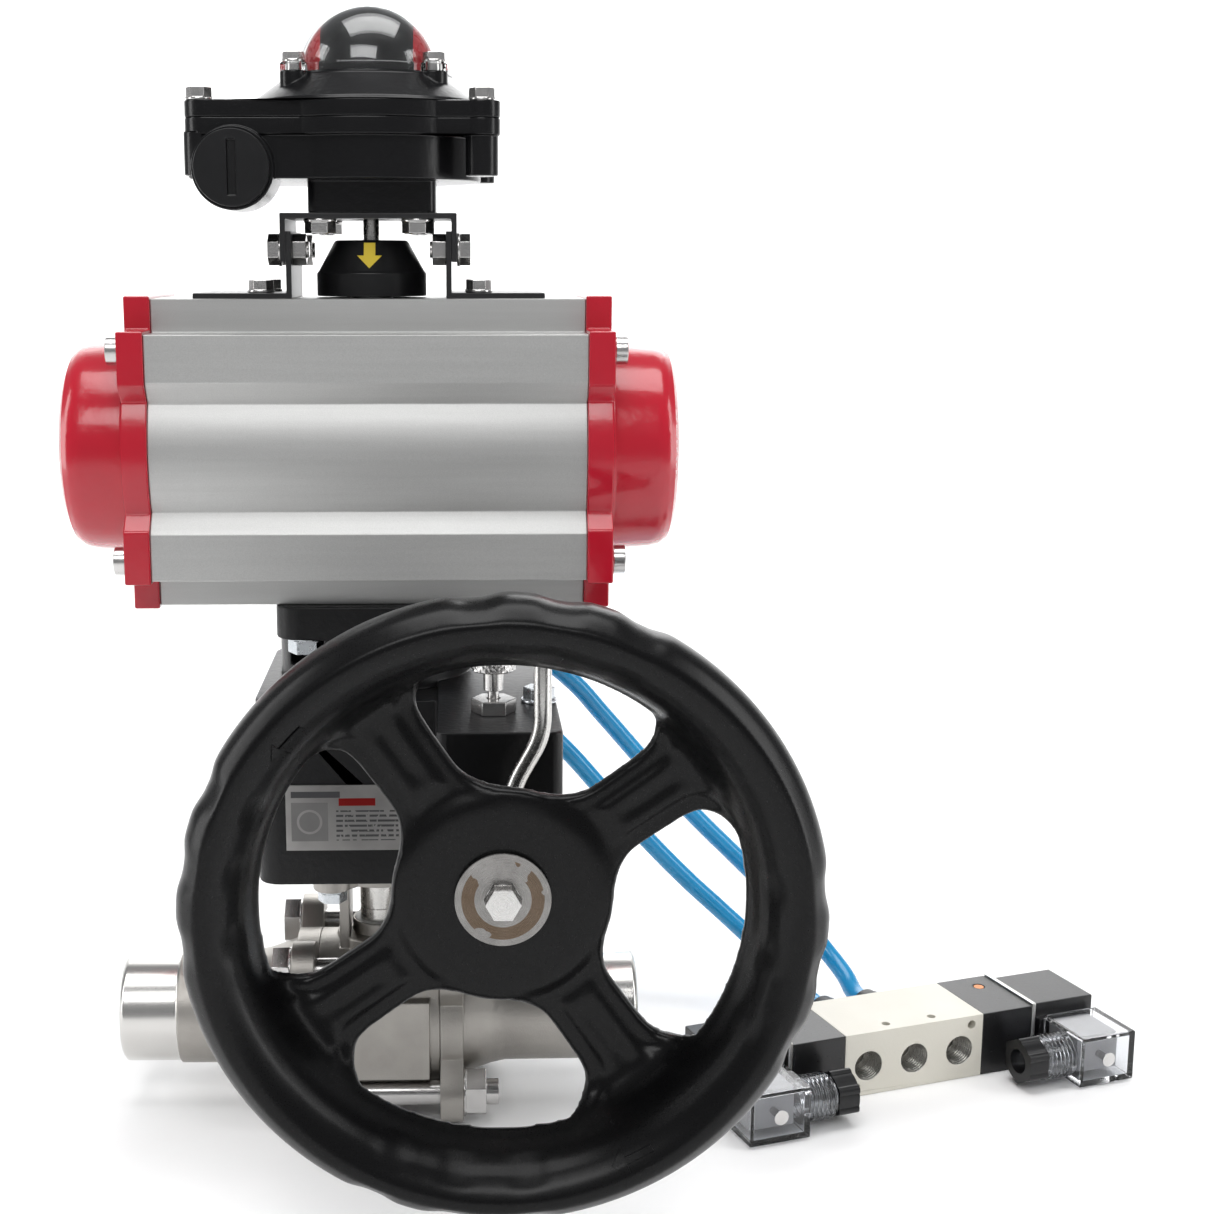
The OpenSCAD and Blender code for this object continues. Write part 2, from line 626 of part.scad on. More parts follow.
module switch_box_lid() color("black") difference() {
    union() {
        translate([0, 0, 346]) linear_extrude(6) lid_plan(0);
        rotate_extrude() polygon([[0, 351], [44, 351], [43.4, 353], [31, 362], [31, 363],
            [0, 363]]);
        for (x = [-26, 24], y = [-20, 20]) rod_z(5, 352, 363, x, y);
    }
    translate([0, 0, 345]) linear_extrude(4) {
        circle(r = 37);
        rrect([-50, -32], [0, 32], 4);
    }
    rotate_extrude() polygon([[0, 348], [37, 348], [37, 352], [26, 360.5], [26, 364], [0, 364]]);
    translate([0, 0, 345]) linear_extrude(8) lid_screw_points() circle(r = 2.5);
    for (x = [-26, 24], y = [-20, 20]) rod_z(2, 355, 364, x, y);
}
module lid_screws() color("silver") {
    translate([0, 0, 352]) lid_screw_points() {
        ring(2.5, 4.6, 0.8);
        translate([0, 0, 0.8]) hex(8, 3.6);
        translate([0, 0, -17]) cylinder(r = 2.5, h = 18);
    }
    for (x = [-26, 24], y = [-20, 20]) translate([x, y, 366]) {
        ring(2, 4, 0.8);
        translate([0, 0, 0.8]) hex(7, 2.8);
        translate([0, 0, -10]) cylinder(r = 2, h = 11);
    }
}
module blanking_plug() color("black") difference() {
    union() {
        rod_y(13.3, -44.5, -41, -46.3, 328.4);
        rod_y(10, -41, -34, -46.3, 328.4);
    }
    box([-47.8, -50, 319], [-44.8, -43, 338]);
}
module switch_shaft() color("silver") {
    box([-2, -5, 297], [2, 5, 300.8]);
    rod_z(3, 300.7, 364);
    for (z = [333.5, 338.5]) translate([0, 0, z]) linear_extrude(3.5) {
        circle(r = 7);
        translate([0, -2]) square([9.5, 4]);
    }
}
module microswitches() color("dimgray") {
    for (z = [332, 337.5]) box([12, -10, z], [24, 10, z + 5.3]);
    box([-36, -26, 332], [-22, 26, 340]);
}
module indicator_dome() color("white") difference() {
    union() {
        translate([0, 0, 363]) intersection() {
            sphere(r = dome_r);
            cylinder(r = 40, h = 40);
        }
        translate([0, 0, 363]) linear_extrude(3) {
            circle(r = 29.5);
            for (x = [-26, 24], y = [-20, 20]) translate([x, y]) circle(r = 5);
        }
    }
    translate([0, 0, 363]) sphere(r = dome_r - 2);
    for (x = [-26, 24], y = [-20, 20]) rod_z(2, 360, 368, x, y);
}
module rotor_ball(r) translate([0, 0, 363]) intersection() {
    sphere(r = r);
    translate([0, 0, -4]) cylinder(r = 40, h = 40);
}
module indicator_rotor() color("black") difference() {
    rotor_ball(23.6);
    both() box([16, -30, 350], [30, 30, 390]);
    rod_z(3, 350, 364);
}
module rotor_flags() color("red") intersection() {
    rotor_ball(23.6);
    both() box([16, -30, 350], [30, 30, 390]);
}

// ---- air valve -------------------------------------------------------------
module av() translate([av_x, av_y, block_z]) rotate(av_turn) children();
pilot_x = block[0] / 2 + pilot_len;
coil_x = pilot_x + 2 + coil_len;
conn = [26, 26, 21];
conn_x0 = pilot_x + 6;
conn_y = -block[1] / 2;
conn_z = -2;

module port_block() color("ivory") av() difference() {
    cube(block, center = true);
    rod_x(4.6, -40, 40, 0, 2);
    for (i = [-1 : 1]) {
        rod_y(g14_r, -20, -8, i * port_pitch, -1);
        rod_y(3.5, -20, 0, i * port_pitch, -1);
    }
    for (i = [-0.5, 0.5]) {
        rod_y(g14_r, 8, 20, i * port_pitch, -1);
        rod_y(3, 0, 20, i * port_pitch, -1);
    }
    for (i = [-0.5, 0.5]) rod_z(1.65, -20, 20, i * port_pitch, -12);
    rod_y(1.8, -20, 20, 27, 9.5);
    rod_y(1.8, -20, 20, -27, -9.5);
}
module pilot_bodies() color("black") av() both() difference() {
    box([block[0] / 2, -block[1] / 2, -block[2] / 2], [pilot_x, block[1] / 2, block[2] / 2]);
    rod_x(5.2, 30, pilot_x - 6, 0, 2);
    rod_z(2.5, 6, 20, block[0] / 2 + 15, 8);
}
module solenoid_coils() color("black") av() both() {
    box([pilot_x, -block[1] / 2, -block[2] / 2], [pilot_x + 2, block[1] / 2, block[2] / 2 + 1]);
    box([pilot_x + 2, -15, -13], [coil_x, 15, 13]);
    translate([pilot_x + 4, conn_y, conn_z - 9]) cube([24, 3, 18]);
    translate([coil_x, 0, 0]) rotate([0, 90, 0]) hex(13, 4.5);
}
module spool() color("silver") av() {
    rod_x(2.2, -35, 35, 0, 2);
    for (x = [-33, -22, -11, 0, 11, 22, 33]) rod_x(4.5, x - 2.5, x + 2.5, 0, 2);
}
module button(s) color("orange") av()
    rod_z(2.1, 9, 13.3, s * (block[0] / 2 + 15), 8);
module left_override_button() button(-1);
module right_override_button() button(1);

// Connectors sit on the coil fronts, with the cable entry towards the middle
module connector_at() av() both() translate([conn_x0, conn_y - conn[1], conn_z]) children();
module connector_housings() color("lightgray") connector_at() difference() {
    union() {
        translate([0, 0, -conn[2] / 2]) cube(conn);
        translate([-14, 11, 0]) rotate([0, 90, 0]) cylinder(r = 8.4, h = 15);
    }
    translate([2, 2, 2 - conn[2] / 2]) cube([conn[0] - 4, conn[1], conn[2] - 4]);
    translate([-15, 11, 0]) rotate([0, 90, 0]) cylinder(r = 6, h = 20);
    translate([13, -1, 0]) rotate([-90, 0, 0]) cylinder(r = 1.6, h = 10);
}
module connector_cores() color("gray") connector_at() difference() {
    translate([4, 7, -7]) cube([18, conn[1] - 7, 14]);
    translate([13, 0, 0]) rotate([-90, 0, 0]) cylinder(r = 1.5, h = 40);
}
module gland_nuts() color("black") connector_at() translate([-14, 11, 0]) rotate([0, -90, 0])
    difference() {
        union() {
            cylinder(r = 8.6, h = 9);
            for (a = [0 : 60 : 300]) rotate(a) translate([7.6, 0, 0]) cylinder(r = 2, h = 9);
        }
        translate([0, 0, -1]) cylinder(r = 5, h = 12);
    }
module connector_screws() color("silver") connector_at() translate([13, -0.6, 0])
    rotate([-90, 0, 0]) {
        cylinder(r = 3, h = 0.6);
        cylinder(r = 1.5, h = 26);
    }
module push_fittings() color("dimgray") av() for (i = [-0.5, 0.5])
    translate([i * port_pitch, block[1] / 2, -1]) rotate([-90, 0, 0]) difference() {
        union() {
            translate([0, 0, -9]) cylinder(r = g14_r, h = 9);
            hex(14, 6);
            translate([0, 0, 6]) cylinder(r = 6.8, h = 12);
            translate([0, 0, 18]) cylinder(r = 6.2, h = 3.5);
        }
        translate([0, 0, -10]) cylinder(r = 3, h = 26);
        translate([0, 0, 10]) cylinder(r = tube_r, h = 20);
    }
module actuator_elbows() color("dimgray") for (x = [-12, 12]) translate([x, 0, act_h]) {
    difference() {
        union() {
            rod_y(g14_r, 40.5, 48.5);
            translate([0, 48.5, 0]) rotate([-90, 0, 0]) hex(14, 6);
            rod_y(6.6, 54, 66);
            translate([0, 66, 0]) sphere(r = 6.6);
            rod_z(6.6, -18, 0, 0, 66);
            rod_z(6, -21.5, -18, 0, 66);
        }
        rod_y(3, 39, 66);
        rod_z(3, -20, 0, 0, 66);
        rod_z(tube_r, -30, -12, 0, 66);
    }
}
// Each tube runs from the depth of its elbow to the depth of its fitting
function fitting_pt(i, y) = [av_x, av_y, block_z - 1] + [
    i * port_pitch * cos(av_turn) - y * sin(av_turn),
    i * port_pitch * sin(av_turn) + y * cos(av_turn), 0];
module air_tube(route, x, i) color("deepskyblue") tube(concat([[x, 66, act_h - 12]],
    finer(route), [fitting_pt(i, 41), fitting_pt(i, 34), fitting_pt(i, block[1] / 2 + 10)]), tube_r);
module air_tube_a() air_tube(route_a, 12, 0.5);
module air_tube_b() air_tube(route_b, -12, -0.5);

valve_body();
left_pipe_end();
right_pipe_end();
seat_rings();
valve_bolts();
stem_packing();
ball();
valve_stem();
gearbox_housing();
gearbox_cover();
gearbox_screws();
shaft_bushes();
worm_wheel();
worm_shaft();
clutch_lever();
lock_plunger();
plunger_nut();
nameplate();
handwheel();
wheel_bolt();
actuator_body();
left_end_cover();
right_end_cover();
end_cover_screws();
cover_seals();
pinion();
pinion_bushes();
left_piston();
right_piston();
position_indicator();
left_foot_bracket();
right_foot_bracket();
top_bracket();
bracket_screws();
box_screws();
switch_box_base();
switch_box_lid();
lid_screws();
blanking_plug();
switch_shaft();
microswitches();
indicator_dome();
indicator_rotor();
rotor_flags();
port_block();
pilot_bodies();
solenoid_coils();
spool();
left_override_button();
right_override_button();
connector_housings();
connector_cores();
gland_nuts();
connector_screws();
push_fittings();
actuator_elbows();
air_tube_a();
air_tube_b();
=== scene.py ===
# %% [markdown]
# # An air-actuated ball valve with a handwheel override
# This lesson dresses a jointed model of a quarter-turn ball valve. The exact parts come
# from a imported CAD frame, in metres, with the origin at the centre of the ball, +X along
# the pipe and +Z up the stem. We give each part soft edges and a finish, and model again
# the parts whose real surface is richer than the CAD solid: the pressed handwheel, the
# knurled knob, the clear dome, the bent lever and the air tubes.

# %% Load the frame
import json
import math
import bpy
from mathutils import Matrix, Vector


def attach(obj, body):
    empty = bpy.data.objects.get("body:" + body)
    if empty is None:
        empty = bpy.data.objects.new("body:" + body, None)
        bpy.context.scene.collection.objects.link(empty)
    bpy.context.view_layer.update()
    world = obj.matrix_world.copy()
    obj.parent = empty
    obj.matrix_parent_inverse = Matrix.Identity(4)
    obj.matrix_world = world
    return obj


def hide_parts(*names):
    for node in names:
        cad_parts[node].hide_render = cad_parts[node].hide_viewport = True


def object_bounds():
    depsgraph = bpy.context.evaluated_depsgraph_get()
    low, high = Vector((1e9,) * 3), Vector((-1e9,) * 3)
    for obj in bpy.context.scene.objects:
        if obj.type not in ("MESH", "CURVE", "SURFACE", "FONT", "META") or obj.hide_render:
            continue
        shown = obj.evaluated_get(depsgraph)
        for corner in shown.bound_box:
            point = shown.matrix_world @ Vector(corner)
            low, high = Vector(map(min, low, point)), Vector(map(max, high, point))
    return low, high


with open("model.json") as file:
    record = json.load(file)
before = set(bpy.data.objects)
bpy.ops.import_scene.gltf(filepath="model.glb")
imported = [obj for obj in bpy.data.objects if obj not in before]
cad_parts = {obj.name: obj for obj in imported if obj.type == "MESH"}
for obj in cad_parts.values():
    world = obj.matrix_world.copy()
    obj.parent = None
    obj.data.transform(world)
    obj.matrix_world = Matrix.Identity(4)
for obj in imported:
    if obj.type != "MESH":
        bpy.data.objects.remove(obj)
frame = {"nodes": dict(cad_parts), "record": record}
nodes = frame["nodes"]
cad_box = [list(corner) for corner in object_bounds()]
slot_of = {part["node"]: part["material_slot"] for part in frame["record"]["subparts"]}
body_of = {node: body for body, members in frame["record"]["behaviour"]["bodies"].items()
           for node in members}
MM = 0.001
print(len(nodes), "nodes; the box in metres is", cad_box)


# %% [markdown]
# ## Selection
# Blender's operators act on whatever is selected, and the import leaves every part
# selected. Two small helpers keep that in hand: one deselects all, one selects one object.

# %% Selection helpers
def deselect():
    if bpy.context.mode != "OBJECT":
        bpy.ops.object.mode_set(mode="OBJECT")
    bpy.ops.object.select_all(action="DESELECT")


def only(piece):
    deselect()
    piece.select_set(True)
    bpy.context.view_layer.objects.active = piece


def edit(piece, pick=None):
    """Enter edit mode with everything selected, or only the faces that pick(face) keeps."""
    only(piece)
    if pick is not None:
        for face in piece.data.polygons:
            face.select = bool(pick(face))
        for edge in piece.data.edges:
            edge.select = False
        for vertex in piece.data.vertices:
            vertex.select = False
        for face in piece.data.polygons:
            if face.select:
                for index in face.vertices:
                    piece.data.vertices[index].select = True
    bpy.ops.object.mode_set(mode="EDIT")
    bpy.ops.mesh.select_mode(type="FACE" if pick is not None else "VERT")
    if pick is None:
        bpy.ops.mesh.select_all(action="SELECT")


def apply_modifier(piece, kind, **settings):
    modifier = piece.modifiers.new(kind.title(), kind)
    for name, value in settings.items():
        setattr(modifier, name, value)
    only(piece)
    bpy.ops.object.modifier_apply(modifier=modifier.name)


def triangles(piece):
    return sum(len(face.vertices) - 2 for face in piece.data.polygons)


# %% [markdown]
# ## Camera, floor and light
# The valve stands against a plain pale sweep, as in a catalogue. The camera looks slightly
# down on it from in front of the handwheel. One large soft box hangs above and in front,
# which gives the broad highlights along the actuator and the rim of the wheel, and strips
# at the sides draw the edges of the black parts. One box lights only the backdrop.

# %% Camera
deselect()
bpy.ops.object.camera_add(
    location=(0.031, -0.689, 0.2967),
    rotation=(math.radians(90 - 10.9), 0, math.radians(-1.46)))
camera = bpy.context.object
camera.data.sensor_width = 36
camera.data.lens = 53.4
camera.data.shift_x = 0.0873
camera.data.clip_start = 0.05
bpy.context.scene.camera = camera
print("camera at", tuple(camera.location))

# %% Floor and backdrop in one sweep
FLOOR_Z = cad_box[0][2]
deselect()
bpy.ops.mesh.primitive_plane_add(size=6, location=(0.1, -0.5, FLOOR_Z - 0.0002))
sweep = bpy.context.object
sweep.name = "sweep"
edit(sweep)
bpy.ops.mesh.select_mode(type="EDGE")
bpy.ops.mesh.select_all(action="DESELECT")
bpy.ops.object.mode_set(mode="OBJECT")
for edge in sweep.data.edges:
    edge.select = all(sweep.data.vertices[v].co.y > 2.9 for v in edge.vertices)
bpy.ops.object.mode_set(mode="EDIT")
bpy.ops.mesh.extrude_region_move(TRANSFORM_OT_translate={"value": (0, 0, 4)})
bpy.ops.object.mode_set(mode="OBJECT")
for edge in sweep.data.edges:
    edge.select = all(sweep.data.vertices[v].co.y > 2.9 and sweep.data.vertices[v].co.z < 0.1
                      for v in edge.vertices)
bpy.ops.object.mode_set(mode="EDIT")
bpy.ops.mesh.bevel(offset=1.5, segments=24, affect="EDGES")
bpy.ops.object.mode_set(mode="OBJECT")
bpy.ops.object.shade_smooth()
bpy.ops.object.transform_apply(location=True, rotation=True, scale=True)


# %% Lights
def soft_box(name, place, aim, width, height, power, tint=(1, 1, 1)):
    deselect()
    bpy.ops.object.light_add(type="AREA", location=place)
    light = bpy.context.object
    light.name = name
    light.data.shape = "RECTANGLE"
    light.data.size, light.data.size_y = width, height
    light.data.energy = power
    light.data.color = tint
    light.rotation_euler = (Vector(aim) - Vector(place)).to_track_quat("-Z", "Y").to_euler()
    return light


soft_box("top_box", (0.1, -0.15, 1.5), (0.08, 0.0, 0.2), 1.3, 0.7, 13)
soft_box("front_box", (-0.15, -1.35, 1.25), (0.05, 0, 0.2), 1.1, 0.5, 9)
soft_box("left_strip", (-1.1, -0.15, 0.45), (0.0, 0, 0.15), 0.3, 1.2, 5)
soft_box("right_strip", (1.15, -0.3, 0.45), (0.1, 0, 0.12), 0.3, 1.1, 4.5)
soft_box("back_fill", (0.2, 1.2, 1.1), (0.1, 0.2, 0.1), 1.2, 0.8, 5)
soft_box("backdrop_wash", (0.2, 1.3, 2.0), (0.2, 3.2, 0.9), 3.0, 0.8, 75)

# %% A plain pale world
world = bpy.data.worlds.new("studio")
bpy.context.scene.world = world
world.use_nodes = True
air = world.node_tree.nodes["Background"]
air.inputs["Color"].default_value = (0.97, 0.98, 1.0, 1)
air.inputs["Strength"].default_value = 0.28
bpy.context.scene.view_settings.view_transform = "Standard"
print("six soft boxes and a pale world")

# %% [markdown]
# ## Air tubes
# Two blue polyurethane tubes, 8 mm across, run from the elbows behind the actuator down
# to the push-in fittings behind the small air valve. A tube is a fixed length of something
# springy, so each is one Bezier curve with automatic handles through the points of its
# route, with a round bevel, made a mesh once its centre line is known. Its ends go into
# the fittings.

# %% Routes of the two tubes
TUBE_R = 4.0
ROUTE_A = [
    (12, 66, 215), (12, 66, 202), (12.5, 66.5, 188), (17, 69, 174), (26, 73, 161),
    (39, 78, 149), (60, 84, 132), (83, 88, 113), (96, 90, 98), (119, 92, 71),
    (142, 93, 46), (156, 93, 32), (169, 92, 19), (181, 90, 7), (191, 86, -3),
    (199, 80, -12), (205, 71, -19), (207.5, 62, -23.5)]
ROUTE_B = [
    (-12, 66, 215), (-12, 66, 202), (-11, 66.5, 188), (-5, 68, 174), (6, 70, 161),
    (22, 73, 144), (42, 75, 123), (61, 77, 103), (81, 78, 83), (93, 79, 69),
    (113, 79, 46), (134, 79, 24), (148, 78, 11), (160, 76, 0), (170, 72, -9),
    (178, 66, -17), (184.5, 58, -22.5)]
VALVE_AT = (212.5, 13.0, -23.5)     # centre of the air valve, and its turn in degrees
VALVE_TURN = 18.3
PORT_PITCH = 21.5


def fitting_point(side, depth):
    turn = math.radians(VALVE_TURN)
    along, out = side * PORT_PITCH, depth
    return (VALVE_AT[0] + along * math.cos(turn) - out * math.sin(turn),
            VALVE_AT[1] + along * math.sin(turn) + out * math.cos(turn),
            VALVE_AT[2] - 1)


def air_tube(name, node, route, side):
    points = [Vector(p) * MM for p in route]
    points += [Vector(fitting_point(side, d)) * MM for d in (41, 34, 27.5)]
    curve = bpy.data.curves.new(name, "CURVE")
    curve.dimensions = "3D"
    line = curve.splines.new("BEZIER")
    line.bezier_points.add(len(points) - 1)
    for knot, place in zip(line.bezier_points, points):
        knot.co = place
        knot.handle_left_type = knot.handle_right_type = "AUTO"
    line.resolution_u = 10
    tube = bpy.data.objects.new(name, curve)
    bpy.context.scene.collection.objects.link(tube)
    bpy.context.view_layer.update()
    centre_line = [vertex.co.copy() for vertex in tube.to_mesh().vertices]
    tube.to_mesh_clear()
    curve.bevel_depth = TUBE_R * MM
    curve.bevel_resolution = 7
    curve.use_fill_caps = True
    only(tube)
    bpy.ops.object.convert(target="MESH")
    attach(tube, "housing")
    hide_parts(node)
    return tube


tube_a = air_tube("outer_air_tube", "air_tube_a", ROUTE_A, 0.5)
tube_b = air_tube("inner_air_tube", "air_tube_b", ROUTE_B, -0.5)


# %% [markdown]
# ## Shader maths
# Finishes are made of fields: numbers that change over a surface. This class wraps a
# node's output socket, so that an ordinary expression such as `0.3 + 0.1 * grain` adds the
# Math nodes for it. Every other node comes from the one method `node`.

# %% The field class
class Field:
    tree = None

    def __init__(self, socket):
        self.socket = socket

    @classmethod
    def node(cls, kind, settings=None, inputs=None, output=0):
        made = cls.tree.nodes.new("ShaderNode" + kind)
        for name, value in (settings or {}).items():
            if name == "stops":
                ramp = made.color_ramp
                while len(ramp.elements) < len(value):
                    ramp.elements.new(0.5)
                for element, (place, colour) in zip(ramp.elements, value):
                    element.position, element.color = place, colour
            else:
                setattr(made, name, value)
        for name, value in (inputs or {}).items():
            if isinstance(value, Field):
                cls.tree.links.new(value.socket, made.inputs[name])
            else:
                made.inputs[name].default_value = value
        return cls(made.outputs[output])

    def maths(self, operation, first, second=None):
        values = {0: first} if second is None else {0: first, 1: second}
        return Field.node("Math", {"operation": operation}, values)

    def __add__(self, other): return self.maths("ADD", self, other)
    def __radd__(self, other): return self.maths("ADD", other, self)
    def __sub__(self, other): return self.maths("SUBTRACT", self, other)
    def __rsub__(self, other): return self.maths("SUBTRACT", other, self)
    def __mul__(self, other): return self.maths("MULTIPLY", self, other)
    def __rmul__(self, other): return self.maths("MULTIPLY", other, self)
    def __truediv__(self, other): return self.maths("DIVIDE", self, other)
    def __pow__(self, other): return self.maths("POWER", self, other)
    def __gt__(self, other): return self.maths("GREATER_THAN", self, other)
    def __lt__(self, other): return self.maths("LESS_THAN", self, other)
    def __abs__(self): return self.maths("ABSOLUTE", self)
    def sine(self): return self.maths("SINE", self)
    def clip(self): return self.maths("MINIMUM", self.maths("MAXIMUM", self, 0.0), 1.0)


# %% Coordinates, grain and mixing
def place_on_object():
    """The point on the piece, in metres, in the frame."""
    return Field.node("TexCoord", output=3)


def axes():
    split = Field.node("SeparateXYZ", inputs={0: place_on_object()})
    outputs = split.socket.node.outputs
    return Field(outputs[0]), Field(outputs[1]), Field(outputs[2])


def grain(per_metre, detail=2.0, rough=0.5, stretch=None):
    where = place_on_object()
    if stretch is not None:
        where = Field.node("Mapping", inputs={"Vector": where, "Scale": stretch})
    return Field.node("TexNoise", inputs={"Vector": where, "Scale": per_metre,
                                          "Detail": detail, "Roughness": rough})


def blend(mask, first, second):
    """Colour first where the mask is 0, second where it is 1."""
    return Field.node("Mix", {"data_type": "RGBA"}, {0: mask, 6: first, 7: second}, 2)


def bump(height, depth_mm, strength=1.0):
    return Field.node("Bump", inputs={"Height": height, "Distance": depth_mm * MM,
                                      "Strength": strength})


def band(value, low, high):
    return (value > low) * (value < high)


def rgb(r, g, b):
    return (r, g, b, 1.0)


def finish(name, look, **constants):
    """A material: look() gives what varies, and constants are set on the shader itself."""
    material = bpy.data.materials.new(name)
    material.use_nodes = True
    Field.tree = material.node_tree
    shader = material.node_tree.nodes["Principled BSDF"]
    for socket, value in constants.items():
        shader.inputs[socket.replace("_", " ")].default_value = value
    for socket, value in look().items():
        if isinstance(value, Field):
            material.node_tree.links.new(value.socket, shader.inputs[socket])
        else:
            shader.inputs[socket].default_value = value
    return material


# %% The sweep is plain, pale paper
def sweep_look():
    return {"Base Color": blend(grain(40, 2), rgb(0.93, 0.93, 0.93), rgb(0.96, 0.96, 0.96)),
            "Roughness": 0.75}


sweep.data.materials.append(finish("sweep_paper", sweep_look, Specular_IOR_Level=0.1))

# %% [markdown]
# ## Metal finishes
# Cast stainless steel is warm grey and blasted, so it is rough with fine pits and faint
# mottling. The same metal turned on a lathe is bright with fine rings. The pipe ends show
# both on one solid, so a mask along the pipe changes one into the other.

# %% Cast and turned stainless steel
def casting_look():
    pits, clouds = grain(1500, 3, 0.6), grain(60, 3, 0.5)
    colour = blend(clouds, rgb(0.30, 0.285, 0.265), rgb(0.47, 0.45, 0.42))
    return {"Base Color": colour, "Roughness": 0.34 + 0.16 * pits,
            "Normal": bump(pits + 0.6 * grain(500, 2), 0.10)}


def weld_end_look():
    x, y, z = axes()
    turned_part = (abs(x) > 0.0798) * 1.0
    pits, clouds = grain(1500, 3, 0.6), grain(60, 3, 0.5)
    rings = (abs(x) * 9000.0).sine() * 0.5 + 0.5
    cast = blend(clouds, rgb(0.30, 0.285, 0.265), rgb(0.47, 0.45, 0.42))
    bright = blend(grain(40, 2), rgb(0.60, 0.59, 0.57), rgb(0.70, 0.69, 0.67))
    rough = (1.0 - turned_part) * (0.34 + 0.16 * pits) + turned_part * (0.20 + 0.06 * rings)
    height = (1.0 - turned_part) * (pits + 0.6 * grain(500, 2)) + turned_part * rings * 0.06
    return {"Base Color": blend(turned_part, cast, bright), "Roughness": rough,
            "Normal": bump(height, 0.10)}


def machined_look():
    colour = blend(grain(90, 2), rgb(0.56, 0.55, 0.53), rgb(0.68, 0.67, 0.65))
    return {"Base Color": colour, "Roughness": 0.2 + 0.12 * grain(700, 2),
            "Normal": bump(grain(2500, 2), 0.01)}


def fastener_look():
    colour = blend(grain(150, 2), rgb(0.50, 0.49, 0.48), rgb(0.68, 0.67, 0.66))
    return {"Base Color": colour, "Roughness": 0.16 + 0.16 * grain(400, 3),
            "Normal": bump(grain(1200, 2), 0.02)}


HUB_X, HUB_Z = 0.045, 0.104     # the handwheel's axis
WASHER_FRONT = -0.1643          # just in front of the washer's face


def washer_look():
    x, y, z = axes()
    across, up = x - HUB_X, z - HUB_Z
    radius = (across * across + up * up) ** 0.5
    disc = (radius > 0.0053) * (y > WASHER_FRONT)
    arc = band(radius, 0.0088, 0.0128) * (grain(55, 3, 0.6) > 0.47)
    fine = (radius * 7000.0).sine() * 0.5 + 0.5
    # the washer's face is coloured a dark, mottled grey, far darker than the bright bolt
    dark_washer_face = blend(grain(150, 3), rgb(0.16, 0.155, 0.15), rgb(0.34, 0.33, 0.32))
    stained = blend(arc * disc * 0.8, dark_washer_face, rgb(0.10, 0.06, 0.03))
    return {"Base Color": blend(disc, rgb(0.62, 0.61, 0.60), stained),
            "Roughness": 0.17 + 0.15 * grain(400, 3) + 0.05 * fine,
            "Normal": bump(fine + grain(1200, 2), 0.006)}


def zinc_look():
    colour = blend(grain(120, 2), rgb(0.55, 0.59, 0.63), rgb(0.72, 0.74, 0.76))
    return {"Base Color": colour, "Roughness": 0.2 + 0.15 * grain(500, 3),
            "Normal": bump(grain(1500, 2), 0.02)}


looks = {
    "stainless_casting": finish("stainless_casting", casting_look, Metallic=1.0),
    "weld_end": finish("weld_end", weld_end_look, Metallic=1.0),
    "stainless_machined": finish("stainless_machined", machined_look, Metallic=1.0),
    "stainless_fastener": finish("stainless_fastener", fastener_look, Metallic=1.0),
    "zinc_fastener": finish("zinc_fastener", zinc_look, Metallic=1.0),
    "wheel_washer": finish("wheel_washer", washer_look, Metallic=1.0),
}


# %% Inner metals: bronze, gear steel and piston alloy
def plain_metal(dark, light, rough, pit):
    def look():
        return {"Base Color": blend(grain(130, 3), rgb(*dark), rgb(*light)),
                "Roughness": rough + 0.12 * grain(600, 2),
                "Normal": bump(grain(pit, 2), 0.02)}
    return look


looks["bronze"] = finish("bronze", plain_metal(
    (0.52, 0.34, 0.14), (0.66, 0.46, 0.22), 0.28, 1400), Metallic=1.0)
looks["bush_bronze"] = finish("bush_bronze", plain_metal(
    (0.46, 0.32, 0.17), (0.58, 0.43, 0.25), 0.38, 2600), Metallic=1.0)
looks["gear_steel"] = finish("gear_steel", plain_metal(
    (0.42, 0.42, 0.42), (0.56, 0.56, 0.55), 0.24, 1800), Metallic=1.0)
looks["piston_alloy"] = finish("piston_alloy", plain_metal(
    (0.58, 0.58, 0.58), (0.70, 0.70, 0.69), 0.30, 1500), Metallic=1.0)


# %% [markdown]
# The actuator body is an aluminium extrusion with a satin silver anodised skin. Close up
# it sparkles: a very fine grain, with faint streaks along the way it was drawn.

# %% Anodised aluminium and label foil
def anodised_look():
    sparkle = grain(3200, 2, 0.7)
    streak = grain(420, 3, 0.5, stretch=(0.04, 1, 1))
    colour = blend(sparkle * 0.75 + streak * 0.25,
                   rgb(0.36, 0.36, 0.355), rgb(0.66, 0.66, 0.65))
    return {"Base Color": colour, "Roughness": 0.38 + 0.16 * sparkle,
            "Normal": bump(sparkle, 0.035)}


